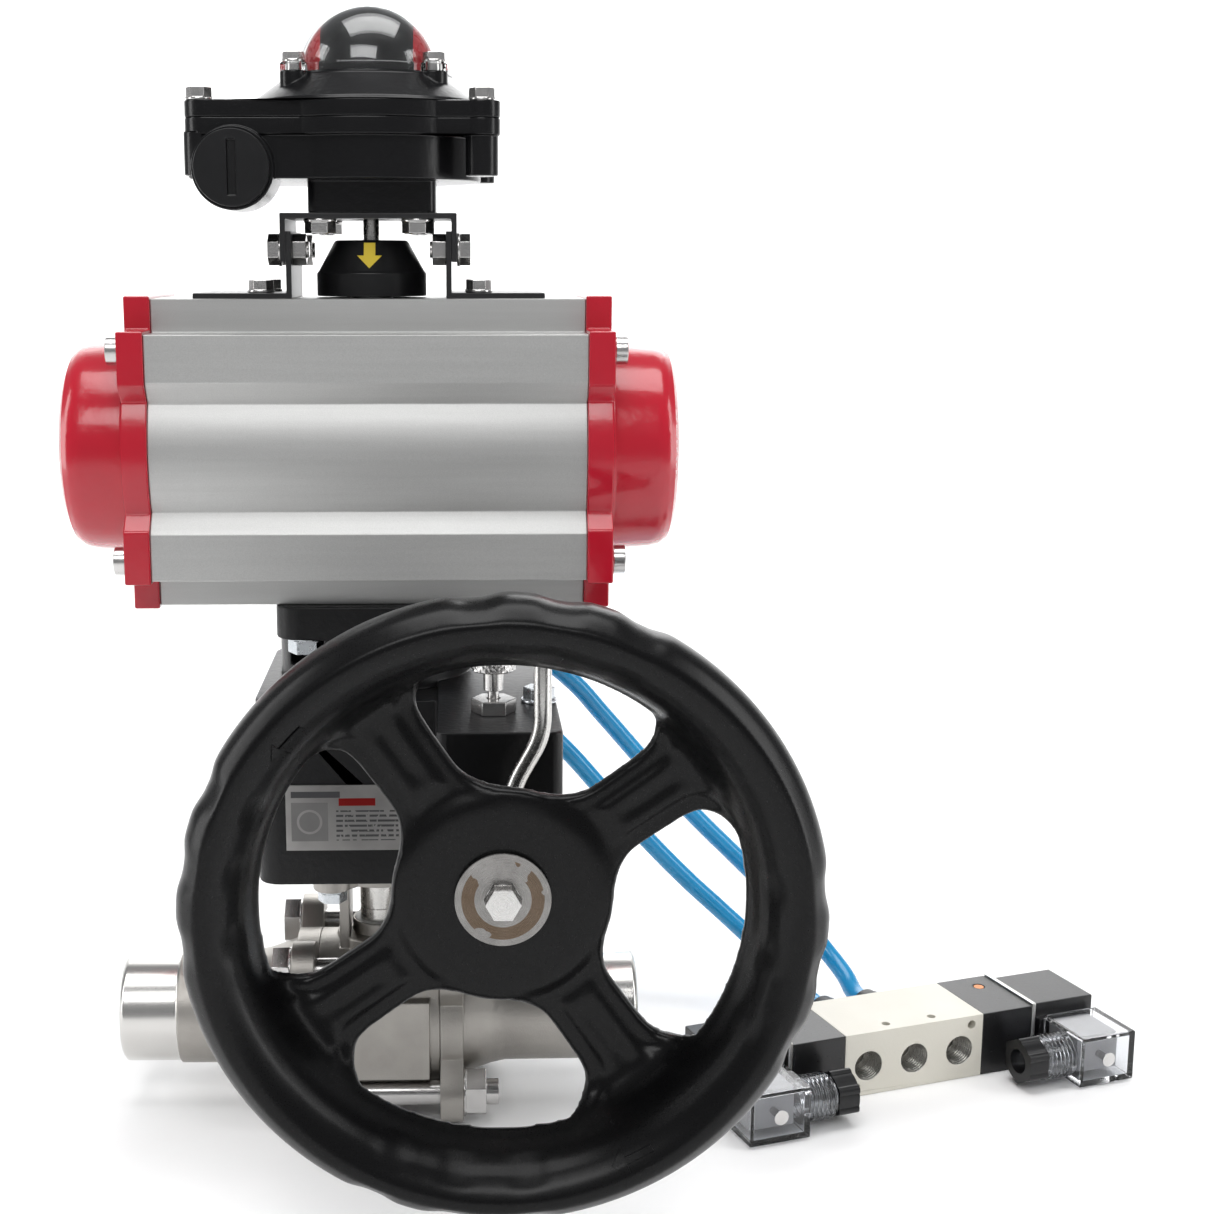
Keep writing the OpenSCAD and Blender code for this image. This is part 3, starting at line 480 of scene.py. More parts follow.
def nameplate_look():
    x, y, z = axes()
    face = y < -0.05075
    title = band(z, 0.1026, 0.1050) * band(x, -0.0300, -0.0120)
    block = band(z, 0.0860, 0.1008) * band(x, -0.0300, -0.0165)
    ring_x, ring_z = x + 0.0233, z - 0.0934
    radius = (ring_x * ring_x + ring_z * ring_z) ** 0.5
    emblem = band(radius, 0.0038, 0.0047)
    lines = band(z, 0.0862, 0.0978) * band(x, -0.0135, 0.0195) * (
        ((z * 3300.0).sine() > 0.15) * (grain(900, 1, 0.5, (1, 1, 0.2)) > 0.42))
    bar = band(z, 0.0995, 0.1024) * band(x, -0.0125, 0.0010)
    ink = ((title + block * (1.0 - emblem) * 0.55 + lines) * face).clip()
    foil = blend(grain(70, 3), rgb(0.20, 0.195, 0.19), rgb(0.42, 0.41, 0.40))
    printed = blend(ink, foil, rgb(0.035, 0.035, 0.038))
    return {"Base Color": blend(bar * face, printed, rgb(0.30, 0.02, 0.02)),
            "Metallic": 1.0 - ink * 0.9, "Roughness": 0.28 + 0.25 * ink + 0.1 * grain(300, 2)}


looks["anodised"] = finish("anodised", anodised_look, Metallic=0.92)
looks["label_foil"] = finish("label_foil", nameplate_look)


# %% [markdown]
# ## Coats and plastics
# Powder coat dries with a slight orange peel, so it has a low, broad bump under a clear
# gloss. Coated castings show the skin of the sand mould through the paint. Moulded plastic
# has a finer, drier grain.

# %% Coats
def coat_look(dark, light, rough, peel_scale, peel_mm, fine=1500, fine_mm=0.01):
    def look():
        peel = grain(peel_scale, 2, 0.5)
        skin = grain(fine, 2, 0.6)
        return {"Base Color": blend(grain(35, 2), rgb(*dark), rgb(*light)),
                "Roughness": rough + 0.09 * skin,
                "Normal": bump(peel + (fine_mm / peel_mm) * skin, peel_mm)}
    return look


looks["red_cover"] = finish("red_cover", coat_look(
    (0.42, 0.004, 0.016), (0.50, 0.007, 0.026), 0.17, 260, 0.10), Coat_Weight=0.35,
    Coat_Roughness=0.08)
looks["black_cast"] = finish("black_cast", coat_look(
    (0.003, 0.003, 0.0033), (0.006, 0.006, 0.0066), 0.32, 420, 0.14, 1800, 0.04),
    Specular_IOR_Level=0.3)
looks["black_wheel"] = finish("black_wheel", coat_look(
    (0.0016, 0.0016, 0.0018), (0.003, 0.003, 0.0034), 0.24, 110, 0.08, 2200, 0.006),
    Specular_IOR_Level=0.22)
looks["bracket_steel"] = finish("bracket_steel", coat_look(
    (0.010, 0.010, 0.011), (0.018, 0.018, 0.019), 0.30, 600, 0.06))
looks["box_shell"] = finish("box_shell", coat_look(
    (0.0035, 0.0035, 0.004), (0.007, 0.007, 0.0078), 0.20, 500, 0.07),
    Specular_IOR_Level=0.3)


# %% The air valve's block, with bare threads in its ports
def valve_axes():
    """Along, through and up the turned air valve, from its centre."""
    x, y, z = axes()
    turn = math.radians(VALVE_TURN)
    dx, dy = x - VALVE_AT[0] * MM, y - VALVE_AT[1] * MM
    return (dx * math.cos(turn) + dy * math.sin(turn),
            dy * math.cos(turn) - dx * math.sin(turn), z - VALVE_AT[2] * MM)


def block_look():
    along, through, up = valve_axes()
    beside = along.maths("MINIMUM", abs(along), abs(abs(along) - PORT_PITCH * MM))
    radius = (beside * beside + (up + 0.001) * (up + 0.001)) ** 0.5
    port = (radius < 0.0064) * (through > -0.01735) * (through < -0.0065)
    threads = (through * 4700.0).sine() * 0.5 + 0.5
    peel = grain(700, 2)
    coat = blend(grain(35, 2), rgb(0.60, 0.575, 0.50), rgb(0.70, 0.68, 0.61))
    return {"Base Color": blend(port, coat, rgb(0.50, 0.49, 0.46)), "Metallic": port,
            "Roughness": 0.36 - 0.12 * port + 0.09 * grain(1800, 2),
            "Normal": bump(peel * (1.0 - port) * 0.12 + threads * port, 0.4)}


looks["ivory_block"] = finish("ivory_block", block_look)


# %% Plastics and rubber
def plastic_look(dark, light, rough, scale=900, depth=0.02):
    def look():
        return {"Base Color": blend(grain(80, 2), rgb(*dark), rgb(*light)),
                "Roughness": rough + 0.12 * grain(scale * 0.6, 2),
                "Normal": bump(grain(scale, 2), depth)}
    return look


looks["black_plastic"] = finish("black_plastic", plastic_look(
    (0.005, 0.005, 0.0055), (0.010, 0.010, 0.011), 0.26), Specular_IOR_Level=0.35)
def coil_look():
    along, through, up = valve_axes()
    plate = band(abs(along), 0.0564, 0.0586)
    plastic = blend(grain(80, 2), rgb(0.005, 0.005, 0.0055), rgb(0.010, 0.010, 0.011))
    return {"Base Color": blend(plate, plastic, rgb(0.55, 0.54, 0.52)), "Metallic": plate,
            "Roughness": 0.24 + 0.12 * grain(780, 2), "Normal": bump(grain(1300, 2), 0.03)}


looks["coil_black"] = finish("coil_black", coil_look)
looks["switch_black"] = finish("switch_black", plastic_look(
    (0.02, 0.02, 0.02), (0.035, 0.035, 0.035), 0.4))
looks["black_rubber"] = finish("black_rubber", plastic_look(
    (0.012, 0.012, 0.012), (0.022, 0.022, 0.022), 0.55, 600))
looks["ptfe"] = finish("ptfe", plastic_look(
    (0.78, 0.78, 0.75), (0.88, 0.88, 0.86), 0.4, 500))
looks["grey_insert"] = finish("grey_insert", plastic_look(
    (0.30, 0.30, 0.31), (0.42, 0.42, 0.43), 0.42))
looks["flag_red"] = finish("flag_red", plastic_look(
    (0.52, 0.012, 0.02), (0.62, 0.02, 0.03), 0.22))
looks["button_orange"] = finish("button_orange", plastic_look(
    (0.62, 0.18, 0.02), (0.75, 0.24, 0.03), 0.3))
looks["arrow_yellow"] = finish("arrow_yellow", plastic_look(
    (0.72, 0.52, 0.03), (0.84, 0.63, 0.05), 0.4))
looks["tube_blue"] = finish("tube_blue", plastic_look(
    (0.006, 0.235, 0.50), (0.012, 0.30, 0.60), 0.2, 300, 0.02), Coat_Weight=0.3,
    Coat_Roughness=0.1)


# %% Clear plastics
def clear_look(tint, rough):
    def look():
        return {"Base Color": rgb(*tint), "Roughness": rough + 0.03 * grain(260, 2)}
    return look


looks["clear_dome"] = finish("clear_dome", clear_look((0.97, 0.98, 0.98), 0.015),
                             Transmission_Weight=1.0, IOR=1.46)
looks["clear_plastic"] = finish("clear_plastic", clear_look((0.90, 0.91, 0.93), 0.05),
                                Transmission_Weight=1.0, IOR=1.46)
print(len(looks), "finishes")

# %% [markdown]
# ## Put a finish on every part
# The record names a material slot for each part. Parts that nobody sees keep their CAD
# mesh and get their finish here; the visible ones are replaced below by softened copies.

# %% Finishes on the CAD parts
for node, part in nodes.items():
    look = "weld_end" if node.endswith("_pipe_end") else slot_of[node]
    if node == "wheel_bolt":
        look = "wheel_washer"
    part.data.materials.clear()
    part.data.materials.append(looks[look])
for tube in (tube_a, tube_b):
    tube.data.materials.append(looks["tube_blue"])


# %% [markdown]
# ## Softened edges
# A real edge is never perfectly sharp: casting, tumbling or a deburring brush rounds it,
# and the thin bright line that this catches tells the eye what it is looking at. So each
# visible part is copied, its doubled vertices merged, its flat triangles joined, and its
# edges bevelled with the width that its making would leave.

# %% Softened copies
def softened(node, width, segments=2, sharp=32, smooth=30, clamp=False, trim=None):
    part = nodes[node]
    deselect()
    piece = bpy.data.objects.new(node + "_finished", part.data.copy())
    bpy.context.scene.collection.objects.link(piece)
    edit(piece)
    bpy.ops.mesh.remove_doubles(threshold=0.000002)
    bpy.ops.mesh.dissolve_limited(angle_limit=math.radians(0.6))
    if trim is not None:
        bpy.ops.mesh.select_all(action="SELECT")
        bpy.ops.mesh.bisect(plane_co=trim, plane_no=(0, 0, 1), clear_outer=True, use_fill=True)
    bpy.ops.object.mode_set(mode="OBJECT")
    if piece.data.has_custom_normals:
        bpy.ops.mesh.customdata_custom_splitnormals_clear()
    if width > 0:
        apply_modifier(piece, "BEVEL", width=width * MM, segments=segments,
                       limit_method="ANGLE", angle_limit=math.radians(sharp),
                       use_clamp_overlap=clamp, miter_outer="MITER_SHARP")
    only(piece)
    bpy.ops.object.shade_smooth_by_angle(angle=math.radians(smooth))
    apply_modifier(piece, "WEIGHTED_NORMAL", keep_sharp=True, weight=80)
    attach(piece, body_of[node])
    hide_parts(node)
    return piece


EDGE_WIDTHS = {
    "valve_body": 0.7, "left_pipe_end": 0.5, "right_pipe_end": 0.5, "valve_bolts": 0.35,
    "gearbox_housing": 0.9, "gearbox_cover": 0.7, "gearbox_screws": 0.35,
    "plunger_nut": 0.4, "wheel_bolt": 0.4, "nameplate": 0.15, "actuator_body": 0.5,
    "left_end_cover": 0.8, "right_end_cover": 0.8, "end_cover_screws": 0.4,
    "position_indicator": 0.4, "left_foot_bracket": 0.3, "right_foot_bracket": 0.3,
    "top_bracket": 0.4, "bracket_screws": 0.3, "box_screws": 0.3,
    "switch_box_base": 0.6, "switch_box_lid": 0.6, "lid_screws": 0.3,
    "blanking_plug": 0.4, "port_block": 0.35, "pilot_bodies": 0.4,
    "solenoid_coils": 0.6, "connector_housings": 0.5, "connector_cores": 0.3,
    "gland_nuts": 0.4, "connector_screws": 0.15, "push_fittings": 0.3,
    "actuator_elbows": 0.3,
}
CROWDED = ("gland_nuts",)     # edges too close for the full width
finished = {}
for node, width in EDGE_WIDTHS.items():
    finished[node] = softened(node, width, clamp=node in CROWDED)
print(len(finished), "softened parts,", sum(map(triangles, finished.values())), "triangles")


# %% [markdown]
# ## Turning
# Many pieces are round. On a lathe one profile makes the whole piece; here a single vertex
# is extruded along the profile, and the line is spun about the axis.

# %% A lathe
def turned(name, profile, steps=64, place=None):
    deselect()
    bpy.ops.mesh.primitive_plane_add(size=0.002)
    piece = bpy.context.object
    piece.name = name
    bpy.ops.object.mode_set(mode="EDIT")
    bpy.ops.mesh.select_all(action="SELECT")
    bpy.ops.mesh.merge(type="CENTER")
    bpy.ops.mesh.select_mode(type="VERT")
    bpy.ops.transform.translate(value=(profile[0][0] * MM, 0, profile[0][1] * MM))
    for (r0, h0), (r1, h1) in zip(profile, profile[1:]):
        bpy.ops.mesh.extrude_vertices_move(
            TRANSFORM_OT_translate={"value": ((r1 - r0) * MM, 0, (h1 - h0) * MM)})
    bpy.ops.mesh.select_all(action="SELECT")
    bpy.ops.mesh.spin(steps=steps, angle=2 * math.pi, center=(0, 0, 0), axis=(0, 0, 1))
    bpy.ops.mesh.select_all(action="SELECT")
    bpy.ops.mesh.remove_doubles(threshold=0.000001)
    bpy.ops.mesh.normals_make_consistent(inside=False)
    bpy.ops.object.mode_set(mode="OBJECT")
    if place is not None:
        piece.matrix_world = place
        bpy.ops.object.transform_apply(location=True, rotation=True, scale=True)
    return piece


def settle(piece, body, slot, look, *replaced, smooth=30):
    only(piece)
    bpy.ops.object.transform_apply(location=True, rotation=True, scale=True)
    bpy.ops.object.shade_smooth_by_angle(angle=math.radians(smooth))
    piece.data.materials.clear()
    piece.data.materials.append(looks[look])
    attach(piece, body)
    if replaced:
        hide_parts(*replaced)
    print(piece.name, triangles(piece), "triangles")
    return piece


# %% [markdown]
# ## The handwheel
# The wheel is pressed from one sheet of steel. Its rim is rolled round to the back, its
# four spokes carry a raised rib, and every edge of its windows is turned back, so nothing
# sharp meets the hand. We spin its profile into a fine sheet, move that sheet's vertices
# by the height of the ribs, cut the windows, turn their edges back, and give the sheet its
# 2.4 mm of steel. A voxel remesh then rounds the corners as the press does.

# %% The shape of the pressing
WHEEL_AT = Vector((45.0, -176.0, 104.0))    # centre of the rim, in millimetres
SPOKES = (35, 125, 215, 305)
WHEEL_PROFILE = [
    (0.01, -14), (15, -14), (28, -14), (31, -14.3), (33.2, -15.3), (35.6, -16.5), (40, -17),
    (64, -17), (68, -16.7), (71, -15.6), (73.2, -13.2), (74.9, -9.4), (76.2, -5), (77.6, -0.5),
    (79.4, 3.6), (81.9, 7.2), (84.8, 9.9), (87.6, 11.5), (89.8, 12), (91, 11.9), (92.0, 11.3),
    (92.8, 10.4), (93.8, 9.5), (95.8, 7.4), (97.2, 4.6), (97.9, 1.8), (98, -0.5), (97.8, -4),
    (97, -8)]


def fine_profile(profile, step):
    """The same profile with a point at least every step millimetres."""
    made = [profile[0]]
    for (r0, h0), (r1, h1) in zip(profile, profile[1:]):
        parts = max(1, round(math.hypot(r1 - r0, h1 - h0) / step))
        for k in range(1, parts + 1):
            made.append((r0 + (r1 - r0) * k / parts, h0 + (h1 - h0) * k / parts))
    return made


def ramp(value, low, high):
    """0 below low, 1 above high, and smooth between them."""
    t = min(max((value - low) / (high - low), 0.0), 1.0)
    return t * t * (3 - 2 * t)


def spoke_frame(x, z):
    """Distance along and across the nearest spoke."""
    angle = math.degrees(math.atan2(z, x))
    spoke = min(SPOKES, key=lambda s: abs((angle - s + 180) % 360 - 180))
    turn = math.radians(angle - spoke)
    radius = math.hypot(x, z)
    return radius * math.cos(turn), radius * math.sin(turn)


def window_edge(x, z):
    """Distance outside the nearest window; negative inside a window."""
    radius = math.hypot(x, z)
    along, across = spoke_frame(x, z)
    flank = 12.0 - abs(across)
    flare = 16.5 - math.hypot(along - 77.0, across)
    side = 0.5 * (flank + flare + math.sqrt((flank - flare) ** 2 + 12.0))
    rim, hub, corner = radius - 74.0, 35.0 - radius, 9.0
    parts = [max(v + corner, 0.0) for v in (side, max(rim, hub))]
    inner = min(max(side, rim, hub) + corner, 0.0)
    return inner + math.hypot(*parts) - corner


def rib_height(x, z):
    """A raised rib runs down each spoke and widens into the rim, 6 mm from each window."""
    radius, away = math.hypot(x, z), window_edge(x, z)
    along, across = spoke_frame(x, z)
    rib = 1.7 * ramp(away, 5.2, 7.4) * ramp(radius, 37, 42) * (1 - ramp(radius, 72, 77))
    valley = 0.9 * (1 - ramp(abs(across), 0.5, 3.6)) * ramp(along, 42, 48) \
        * (1 - ramp(along, 62, 72))
    edge = 0.5 * ramp(away, 1.0, 2.2) * (1 - ramp(away, 2.6, 4.6)) * (1 - ramp(radius, 70, 74))
    return rib - valley + edge


print("window edge at the middle of a window:", round(window_edge(*[
    54 * f(math.radians(80)) for f in (math.cos, math.sin)]), 2), "mm")

# %% Press the sheet
wheel = turned("handwheel_pressing", fine_profile(WHEEL_PROFILE, 1.15), steps=432)
for vertex in wheel.data.vertices:
    x, z = vertex.co.x / MM, vertex.co.y / MM
    radius = math.hypot(x, z)
    vertex.co.z += rib_height(x, z) * MM
    # finger grips: shallow waves in the rim beside each window
    angle = math.degrees(math.atan2(z, x))
    for centre in (80, 170, 260, 350):
        for k in (-1, 0, 1):
            away = abs((angle - centre - 15 * k + 180) % 360 - 180)
            dent = (1 - ramp(away, 1.0, 5.5)) * ramp(radius, 90, 97) * 1.3
            vertex.co.x *= 1 - dent / max(radius, 1)
            vertex.co.y *= 1 - dent / max(radius, 1)
            inner = ((1 - ramp(away, 1.0, 5.5)) * ramp(radius, 77, 79)
                     * (1 - ramp(radius, 81, 86)))
            vertex.co.z -= inner * 0.9 * MM

# %% Cut the windows and turn their edges back
LIP = 1.5


def in_window(face):
    x = sum(wheel.data.vertices[v].co.x for v in face.vertices) / len(face.vertices) / MM
    z = sum(wheel.data.vertices[v].co.y for v in face.vertices) / len(face.vertices) / MM
    return 30 < math.hypot(x, z) < 80 and window_edge(x, z) < LIP


edit(wheel, in_window)
bpy.ops.mesh.delete(type="FACE")
bpy.ops.object.mode_set(mode="OBJECT")


def border(piece):
    """Indices of the vertices on a window's edge."""
    uses = {}
    for face in piece.data.polygons:
        for key in face.edge_keys:
            uses[key] = uses.get(key, 0) + 1
    found = {v for key, n in uses.items() if n == 1 for v in key}
    return [v for v in found
            if 30 < piece.data.vertices[v].co.to_2d().length / MM < 85]


def slope(x, z, d=0.05):
    gx = window_edge(x + d, z) - window_edge(x - d, z)
    gz = window_edge(x, z + d) - window_edge(x, z - d)
    size = math.hypot(gx, gz) or 1.0
    return gx / size, gz / size


def shift_border(piece, target, down):
    for index in border(piece):
        vertex = piece.data.vertices[index]
        for _ in range(3):
            x, z = vertex.co.x / MM, vertex.co.y / MM
            gx, gz = slope(x, z)
            gap = target - window_edge(x, z)
            vertex.co.x += gx * gap * MM
            vertex.co.y += gz * gap * MM
        vertex.co.z -= down * MM


shift_border(wheel, LIP, 0)
for target, down in ((0.9, 0.5), (0.45, 1.3), (0.3, 2.6)):
    only(wheel)
    border_now = set(border(wheel))
    for vertex in wheel.data.vertices:
        vertex.select = vertex.index in border_now
    for edge in wheel.data.edges:
        edge.select = all(v in border_now for v in edge.vertices)
    for face in wheel.data.polygons:
        face.select = False
    bpy.ops.object.mode_set(mode="EDIT")
    bpy.ops.mesh.select_mode(type="EDGE")
    bpy.ops.mesh.extrude_edges_move(TRANSFORM_OT_translate={"value": (0, 0, -0.00001)})
    bpy.ops.object.mode_set(mode="OBJECT")
    shift_border(wheel, target, down)
print("window edges turned back;", triangles(wheel), "triangles in the sheet")

# %% Sheet thickness, boss and remesh
apply_modifier(wheel, "SOLIDIFY", thickness=2.4 * MM, offset=-1)
boss = turned("wheel_boss", [(0.01, -15), (11, -15), (11, -30), (0.01, -30)], steps=64)
only(wheel)
boss.select_set(True)
bpy.ops.object.join()
apply_modifier(wheel, "REMESH", mode="VOXEL", voxel_size=1.15 * MM)
apply_modifier(wheel, "SMOOTH", factor=0.5, iterations=4)
# the sheet was pressed lying flat: stand it up, facing the hand
wheel.matrix_world = (Matrix.Translation(WHEEL_AT * MM)
                      @ Matrix.Rotation(math.radians(90), 4, "X"))
settle(wheel, "wheel", "black_wheel", "black_wheel", "handwheel", smooth=60)

# %% [markdown]
# ## Direction arrows on the rim
# The press leaves two raised arrows on the rim, one for each way of turning. Each starts
# as a flat bar and a three-sided head, cut into small faces, and is then bent round the
# wheel: distance along the bar becomes an angle, and distance across it a radius.

# %% A flat arrow that can be bent
def flat_arrow(name, bar_w, bar_l, head_w, head_l, thick):
    """Points along -Y from the origin, lying flat, with its back at height 0."""
    deselect()
    bpy.ops.mesh.primitive_cube_add(size=1, location=(0, -bar_l / 2 * MM, thick / 2 * MM),
                                    scale=(bar_w * MM, bar_l * MM, thick * MM))
    arrow = bpy.context.object
    arrow.name = name
    bpy.ops.object.mode_set(mode="EDIT")
    bpy.ops.mesh.select_all(action="SELECT")
    bpy.ops.mesh.subdivide(number_cuts=7)
    bpy.ops.object.mode_set(mode="OBJECT")
    bpy.ops.mesh.primitive_cylinder_add(vertices=3, radius=1, depth=thick * MM,
                                        location=(0, -bar_l * MM, thick / 2 * MM))
    head = bpy.context.object
    for corner in head.data.vertices:
        side, tip = corner.co.x, corner.co.y
        corner.co.x = (0 if abs(side) < 0.1 else math.copysign(head_w / 2, side)) * MM
        corner.co.y = (-head_l if tip > 0.5 else 0) * MM
    bpy.ops.object.mode_set(mode="EDIT")
    bpy.ops.mesh.select_all(action="SELECT")
    bpy.ops.mesh.subdivide(number_cuts=7)
    bpy.ops.mesh.normals_make_consistent(inside=False)
    bpy.ops.object.mode_set(mode="OBJECT")
    arrow.select_set(True)
    bpy.context.view_layer.objects.active = arrow
    bpy.ops.object.join()
    bpy.ops.object.transform_apply(location=True, rotation=True, scale=True)
    return arrow


def rim_height(radius):
    for (r0, h0), (r1, h1) in zip(WHEEL_PROFILE, WHEEL_PROFILE[1:]):
        if r0 <= radius <= r1 and r1 > r0:
            return h0 + (h1 - h0) * (radius - r0) / (r1 - r0)
    return WHEEL_PROFILE[-1][1]


def rim_arrow(name, at_angle, way):
    arrow = flat_arrow(name, 1.6, 9.0, 6.4, 4.6, 0.9)
    middle = 84.0
    for corner in arrow.data.vertices:
        across, along, up = (c / MM for c in corner.co)
        radius = middle + across * way
        angle = math.radians(at_angle) - way * along / middle
        height = rim_height(radius) + up - 0.45
        corner.co = (radius * math.cos(angle) * MM, radius * math.sin(angle) * MM, height * MM)
    arrow.matrix_world = (Matrix.Translation(WHEEL_AT * MM)
                          @ Matrix.Rotation(math.radians(90), 4, "X"))
    only(arrow)
    bpy.ops.object.transform_apply(location=True, rotation=True, scale=True)
    edit(arrow)
    bpy.ops.mesh.normals_make_consistent(inside=False)
    bpy.ops.object.mode_set(mode="OBJECT")
    return settle(arrow, "wheel", "black_wheel", "black_wheel")


rim_arrow("opening_arrow", 134, 1)
rim_arrow("closing_arrow", -58, -1)


# %% [markdown]
# ## Arrow on the position indicator
# A small yellow arrow is let into the black cone above the actuator. It is the same flat
# arrow, laid on the cone: each point keeps its place across and down, and goes out to the
# radius that the cone has at its height.

# %% Lay the arrow on the cone
def cone_radius(z):
    return 14.0 + (303.2 - z) * (19.6 - 14.0) / (303.2 - 293.0)


puck_arrow = flat_arrow("position_arrow", 4.2, 4.6, 9.2, 4.6, 0.7)
for corner in puck_arrow.data.vertices:
    across, down, out = (c / MM for c in corner.co)
    z = 303.0 + down
    radius = cone_radius(z) + out - 0.35
    angle = across / radius
    corner.co = (radius * math.sin(angle) * MM, -radius * math.cos(angle) * MM, z * MM)
edit(puck_arrow)
bpy.ops.mesh.normals_make_consistent(inside=False)
bpy.ops.object.mode_set(mode="OBJECT")
settle(puck_arrow, "drive", "black_plastic", "arrow_yellow")


# %% [markdown]
# ## The clutch lever
# The lever is a stainless rod, bent cold, that leaves the clutch sleeve beside the hub.
# The sleeve keeps its CAD shape, cut off level with its top; the rod is a curve with a
# round bevel, because a bend in a rod has no corner.

# %% Rod and sleeve
def bent(points, radius_mm, steps=8):
    """The points of a line with its corners rounded."""
    made = [points[0]]
    for before, corner, after in zip(points, points[1:], points[2:]):
        start = corner + (before - corner).normalized() * radius_mm
        end = corner + (after - corner).normalized() * radius_mm
        for k in range(steps + 1):
            t = k / steps
            made.append(start * (1 - t) ** 2 + corner * (2 * t * (1 - t)) + end * t ** 2)
    return made + [points[-1]]


def rod(name, points, radius):
    curve = bpy.data.curves.new(name, "CURVE")
    curve.dimensions = "3D"
    line = curve.splines.new("POLY")
    line.points.add(len(points) - 1)
    for knot, place in zip(line.points, points):
        knot.co = (*(place * MM), 1)
    curve.bevel_depth = radius * MM
    curve.bevel_resolution = 8
    curve.use_fill_caps = True
    piece = bpy.data.objects.new(name, curve)
    bpy.context.scene.collection.objects.link(piece)
    only(piece)
    bpy.ops.object.convert(target="MESH")
    edit(piece)
    bpy.ops.mesh.remove_doubles(threshold=0.000002)
    bpy.ops.mesh.normals_make_consistent(inside=False)
    bpy.ops.object.mode_set(mode="OBJECT")
    return piece


softened("clutch_lever", 0.3, clamp=True, trim=(0, 0, 0.11752))
lever = rod("clutch_lever_rod", bent([
    Vector(p) for p in ((48.4, -113, 114), (49.7, -113, 125), (59.4, -113, 142.5),
                        (59.4, -113, 176))], 6.5), 3.0)
apply_modifier(lever, "BEVEL", width=0.5 * MM, segments=3, limit_method="ANGLE",
               angle_limit=math.radians(50))
settle(lever, "clutch", "stainless_machined", "stainless_machined", smooth=40)

# %% [markdown]
# ## The knurled knob
# The lock plunger is pulled by a small knob whose edge is knurled in diamonds, so that
# oily fingers hold it. The knob is turned with a fine profile and many steps, and the
# knurl is two crossed sets of ridges that move its vertices in and out.

# %% Turn the plunger and knurl its knob
KNOB_X, KNOB_Y = 0.044, -0.075
KNOB_AT = Matrix.Translation((KNOB_X, KNOB_Y, 0))
knob = turned("lock_plunger_knob", [
    (0, 115.5), (2, 115.5), (2, 149), (3.3, 149), (3.5, 149.2), (3.5, 156), (7.2, 156),
    *[(7.8, 156.5 + 0.36 * k) for k in range(12)], (7.2, 161), (5.0, 160.6), (0, 160.6)],
    steps=180, place=KNOB_AT)
for corner in knob.data.vertices:
    out = Vector((corner.co.x - KNOB_X, corner.co.y - KNOB_Y))
    height = corner.co.z / MM
    if out.length > 7.6 * MM and 156.4 < height < 160.6:
        turn = math.degrees(math.atan2(out.y, out.x))
        ridge = (abs(((turn / 10 + (height - 158) / 1.4) % 2) - 1)
                 * abs(((turn / 10 - (height - 158) / 1.4) % 2) - 1))
        grown = 1 + (0.35 * ridge - 0.12) / 7.8
        corner.co.x, corner.co.y = KNOB_X + out.x * grown, KNOB_Y + out.y * grown
settle(knob, "plunger", "stainless_fastener", "stainless_fastener", "lock_plunger", smooth=24)

# %% [markdown]
# ## The clear dome and what turns under it
# The dome is moulded in clear plastic, 2 mm thick, with four ears that are screwed to the
# lid. Clear parts need a clean, closed wall, or light bends wrongly in them, so the dome
# is turned as one closed profile, and its ears are joined to it by a union.

# %% Turn the dome
def arc(radius, centre, start, end, steps):
    return [(radius * math.cos(math.radians(start + (end - start) * k / steps)),
             centre + radius * math.sin(math.radians(start + (end - start) * k / steps)))
            for k in range(steps + 1)]


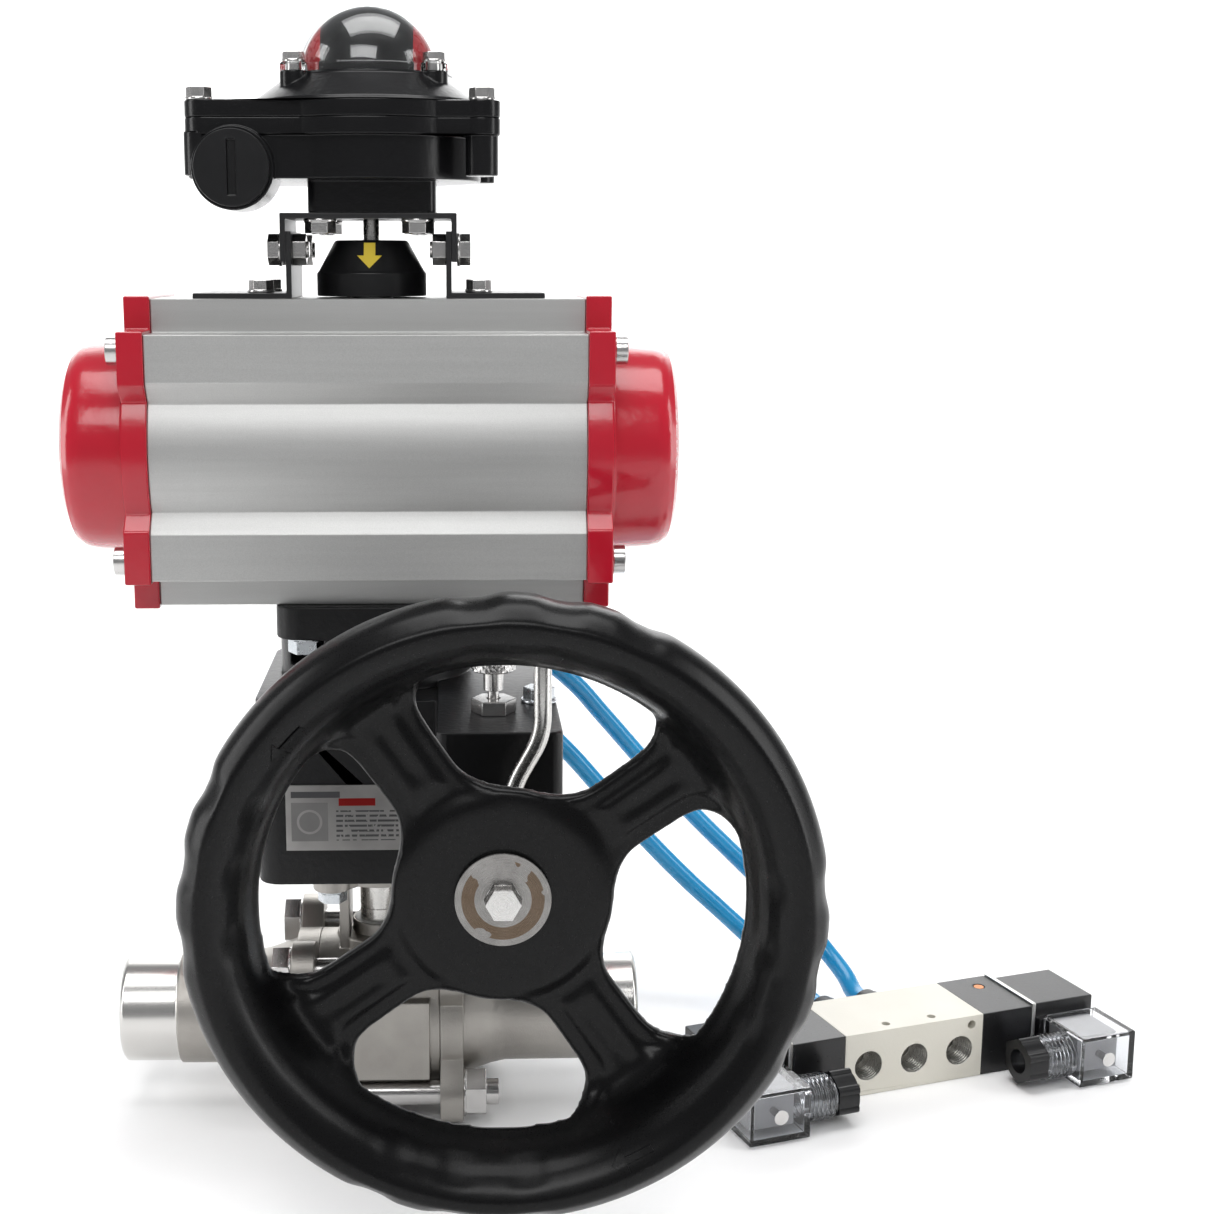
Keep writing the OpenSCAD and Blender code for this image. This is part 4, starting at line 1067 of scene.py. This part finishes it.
dome = turned("clear_dome", [
    *[(max(r, 0), z) for r, z in arc(25.2, 363, 90, 0, 22)], (29.5, 363), (29.5, 365.6),
    (29.2, 366), (27.6, 366), *[(max(r, 0), z) for r, z in arc(27.6, 363, 6.3, 90, 22)]],
    steps=96)
for x in (-26, 24):
    for y in (-20, 20):
        ear = turned("ear", [(0, 363), (5, 363), (5, 365.5), (4.6, 366), (0, 366)], steps=48,
                     place=Matrix.Translation((x * MM, y * MM, 0)))
        apply_modifier(dome, "BOOLEAN", operation="UNION", solver="EXACT", object=ear)
        bpy.data.objects.remove(ear)
settle(dome, "housing", "clear_dome", "clear_dome", "indicator_dome", smooth=35)

# %% Turn the rotor and its two red flags
rotor = turned("indicator_ball", [
    (0, 359.2), (24.0, 359.2), *[(max(r, 0), z) for r, z in arc(24.7, 363, -6, 90, 30)]],
    steps=96)
flags = rotor.copy()
flags.data = rotor.data.copy()
flags.name = "rotor_windows"
bpy.context.scene.collection.objects.link(flags)


def cut_away(piece, middle, width):
    """Cut off the slab of that width, centred at that X, both in metres."""
    deselect()
    bpy.ops.mesh.primitive_cube_add(size=1, location=(middle, 0, 0.37),
                                    scale=(width, 0.08, 0.08))
    slab = bpy.context.object
    apply_modifier(piece, "BOOLEAN", operation="DIFFERENCE", solver="EXACT", object=slab)
    bpy.data.objects.remove(slab)


for side in (-1, 1):
    cut_away(rotor, side * 0.031, 0.030)
cut_away(flags, 0, 0.032)
settle(rotor, "drive", "black_plastic", "black_plastic", "indicator_rotor", smooth=35)
settle(flags, "drive", "flag_red", "flag_red", "rotor_flags", smooth=35)

# %% [markdown]
# ## Ridges on the clear connectors
# The neck of each clear connector has a row of rounded ridges, so that a gloved hand can
# hold it while the gland nut is turned. One ridged collar is turned and copied.

# %% Ridged collars
def on_valve(along, through, up, lying):
    turn = Matrix.Rotation(math.radians(VALVE_TURN), 4, "Z")
    return (Matrix.Translation(Vector(VALVE_AT) * MM) @ turn
            @ Matrix.Translation(Vector((along, through, up)) * MM) @ lying)


ridges = []
for k in range(7):
    start = -6.6 + 1.9 * k
    ridges += [(8.5, start), (9.0, start + 0.25), (9.25, start + 0.7), (9.0, start + 1.15),
               (8.5, start + 1.4)]
LYING = Matrix.Rotation(math.radians(90), 4, "Y")
for side, name in ((-1, "left_connector_ridges"), (1, "right_connector_ridges")):
    collar = turned(name, ridges, steps=48, place=on_valve(side * 56.0, -32.5, -2, LYING))
    apply_modifier(collar, "SOLIDIFY", thickness=0.5 * MM, offset=-1)
    settle(collar, "housing", "clear_plastic", "clear_plastic", smooth=50)
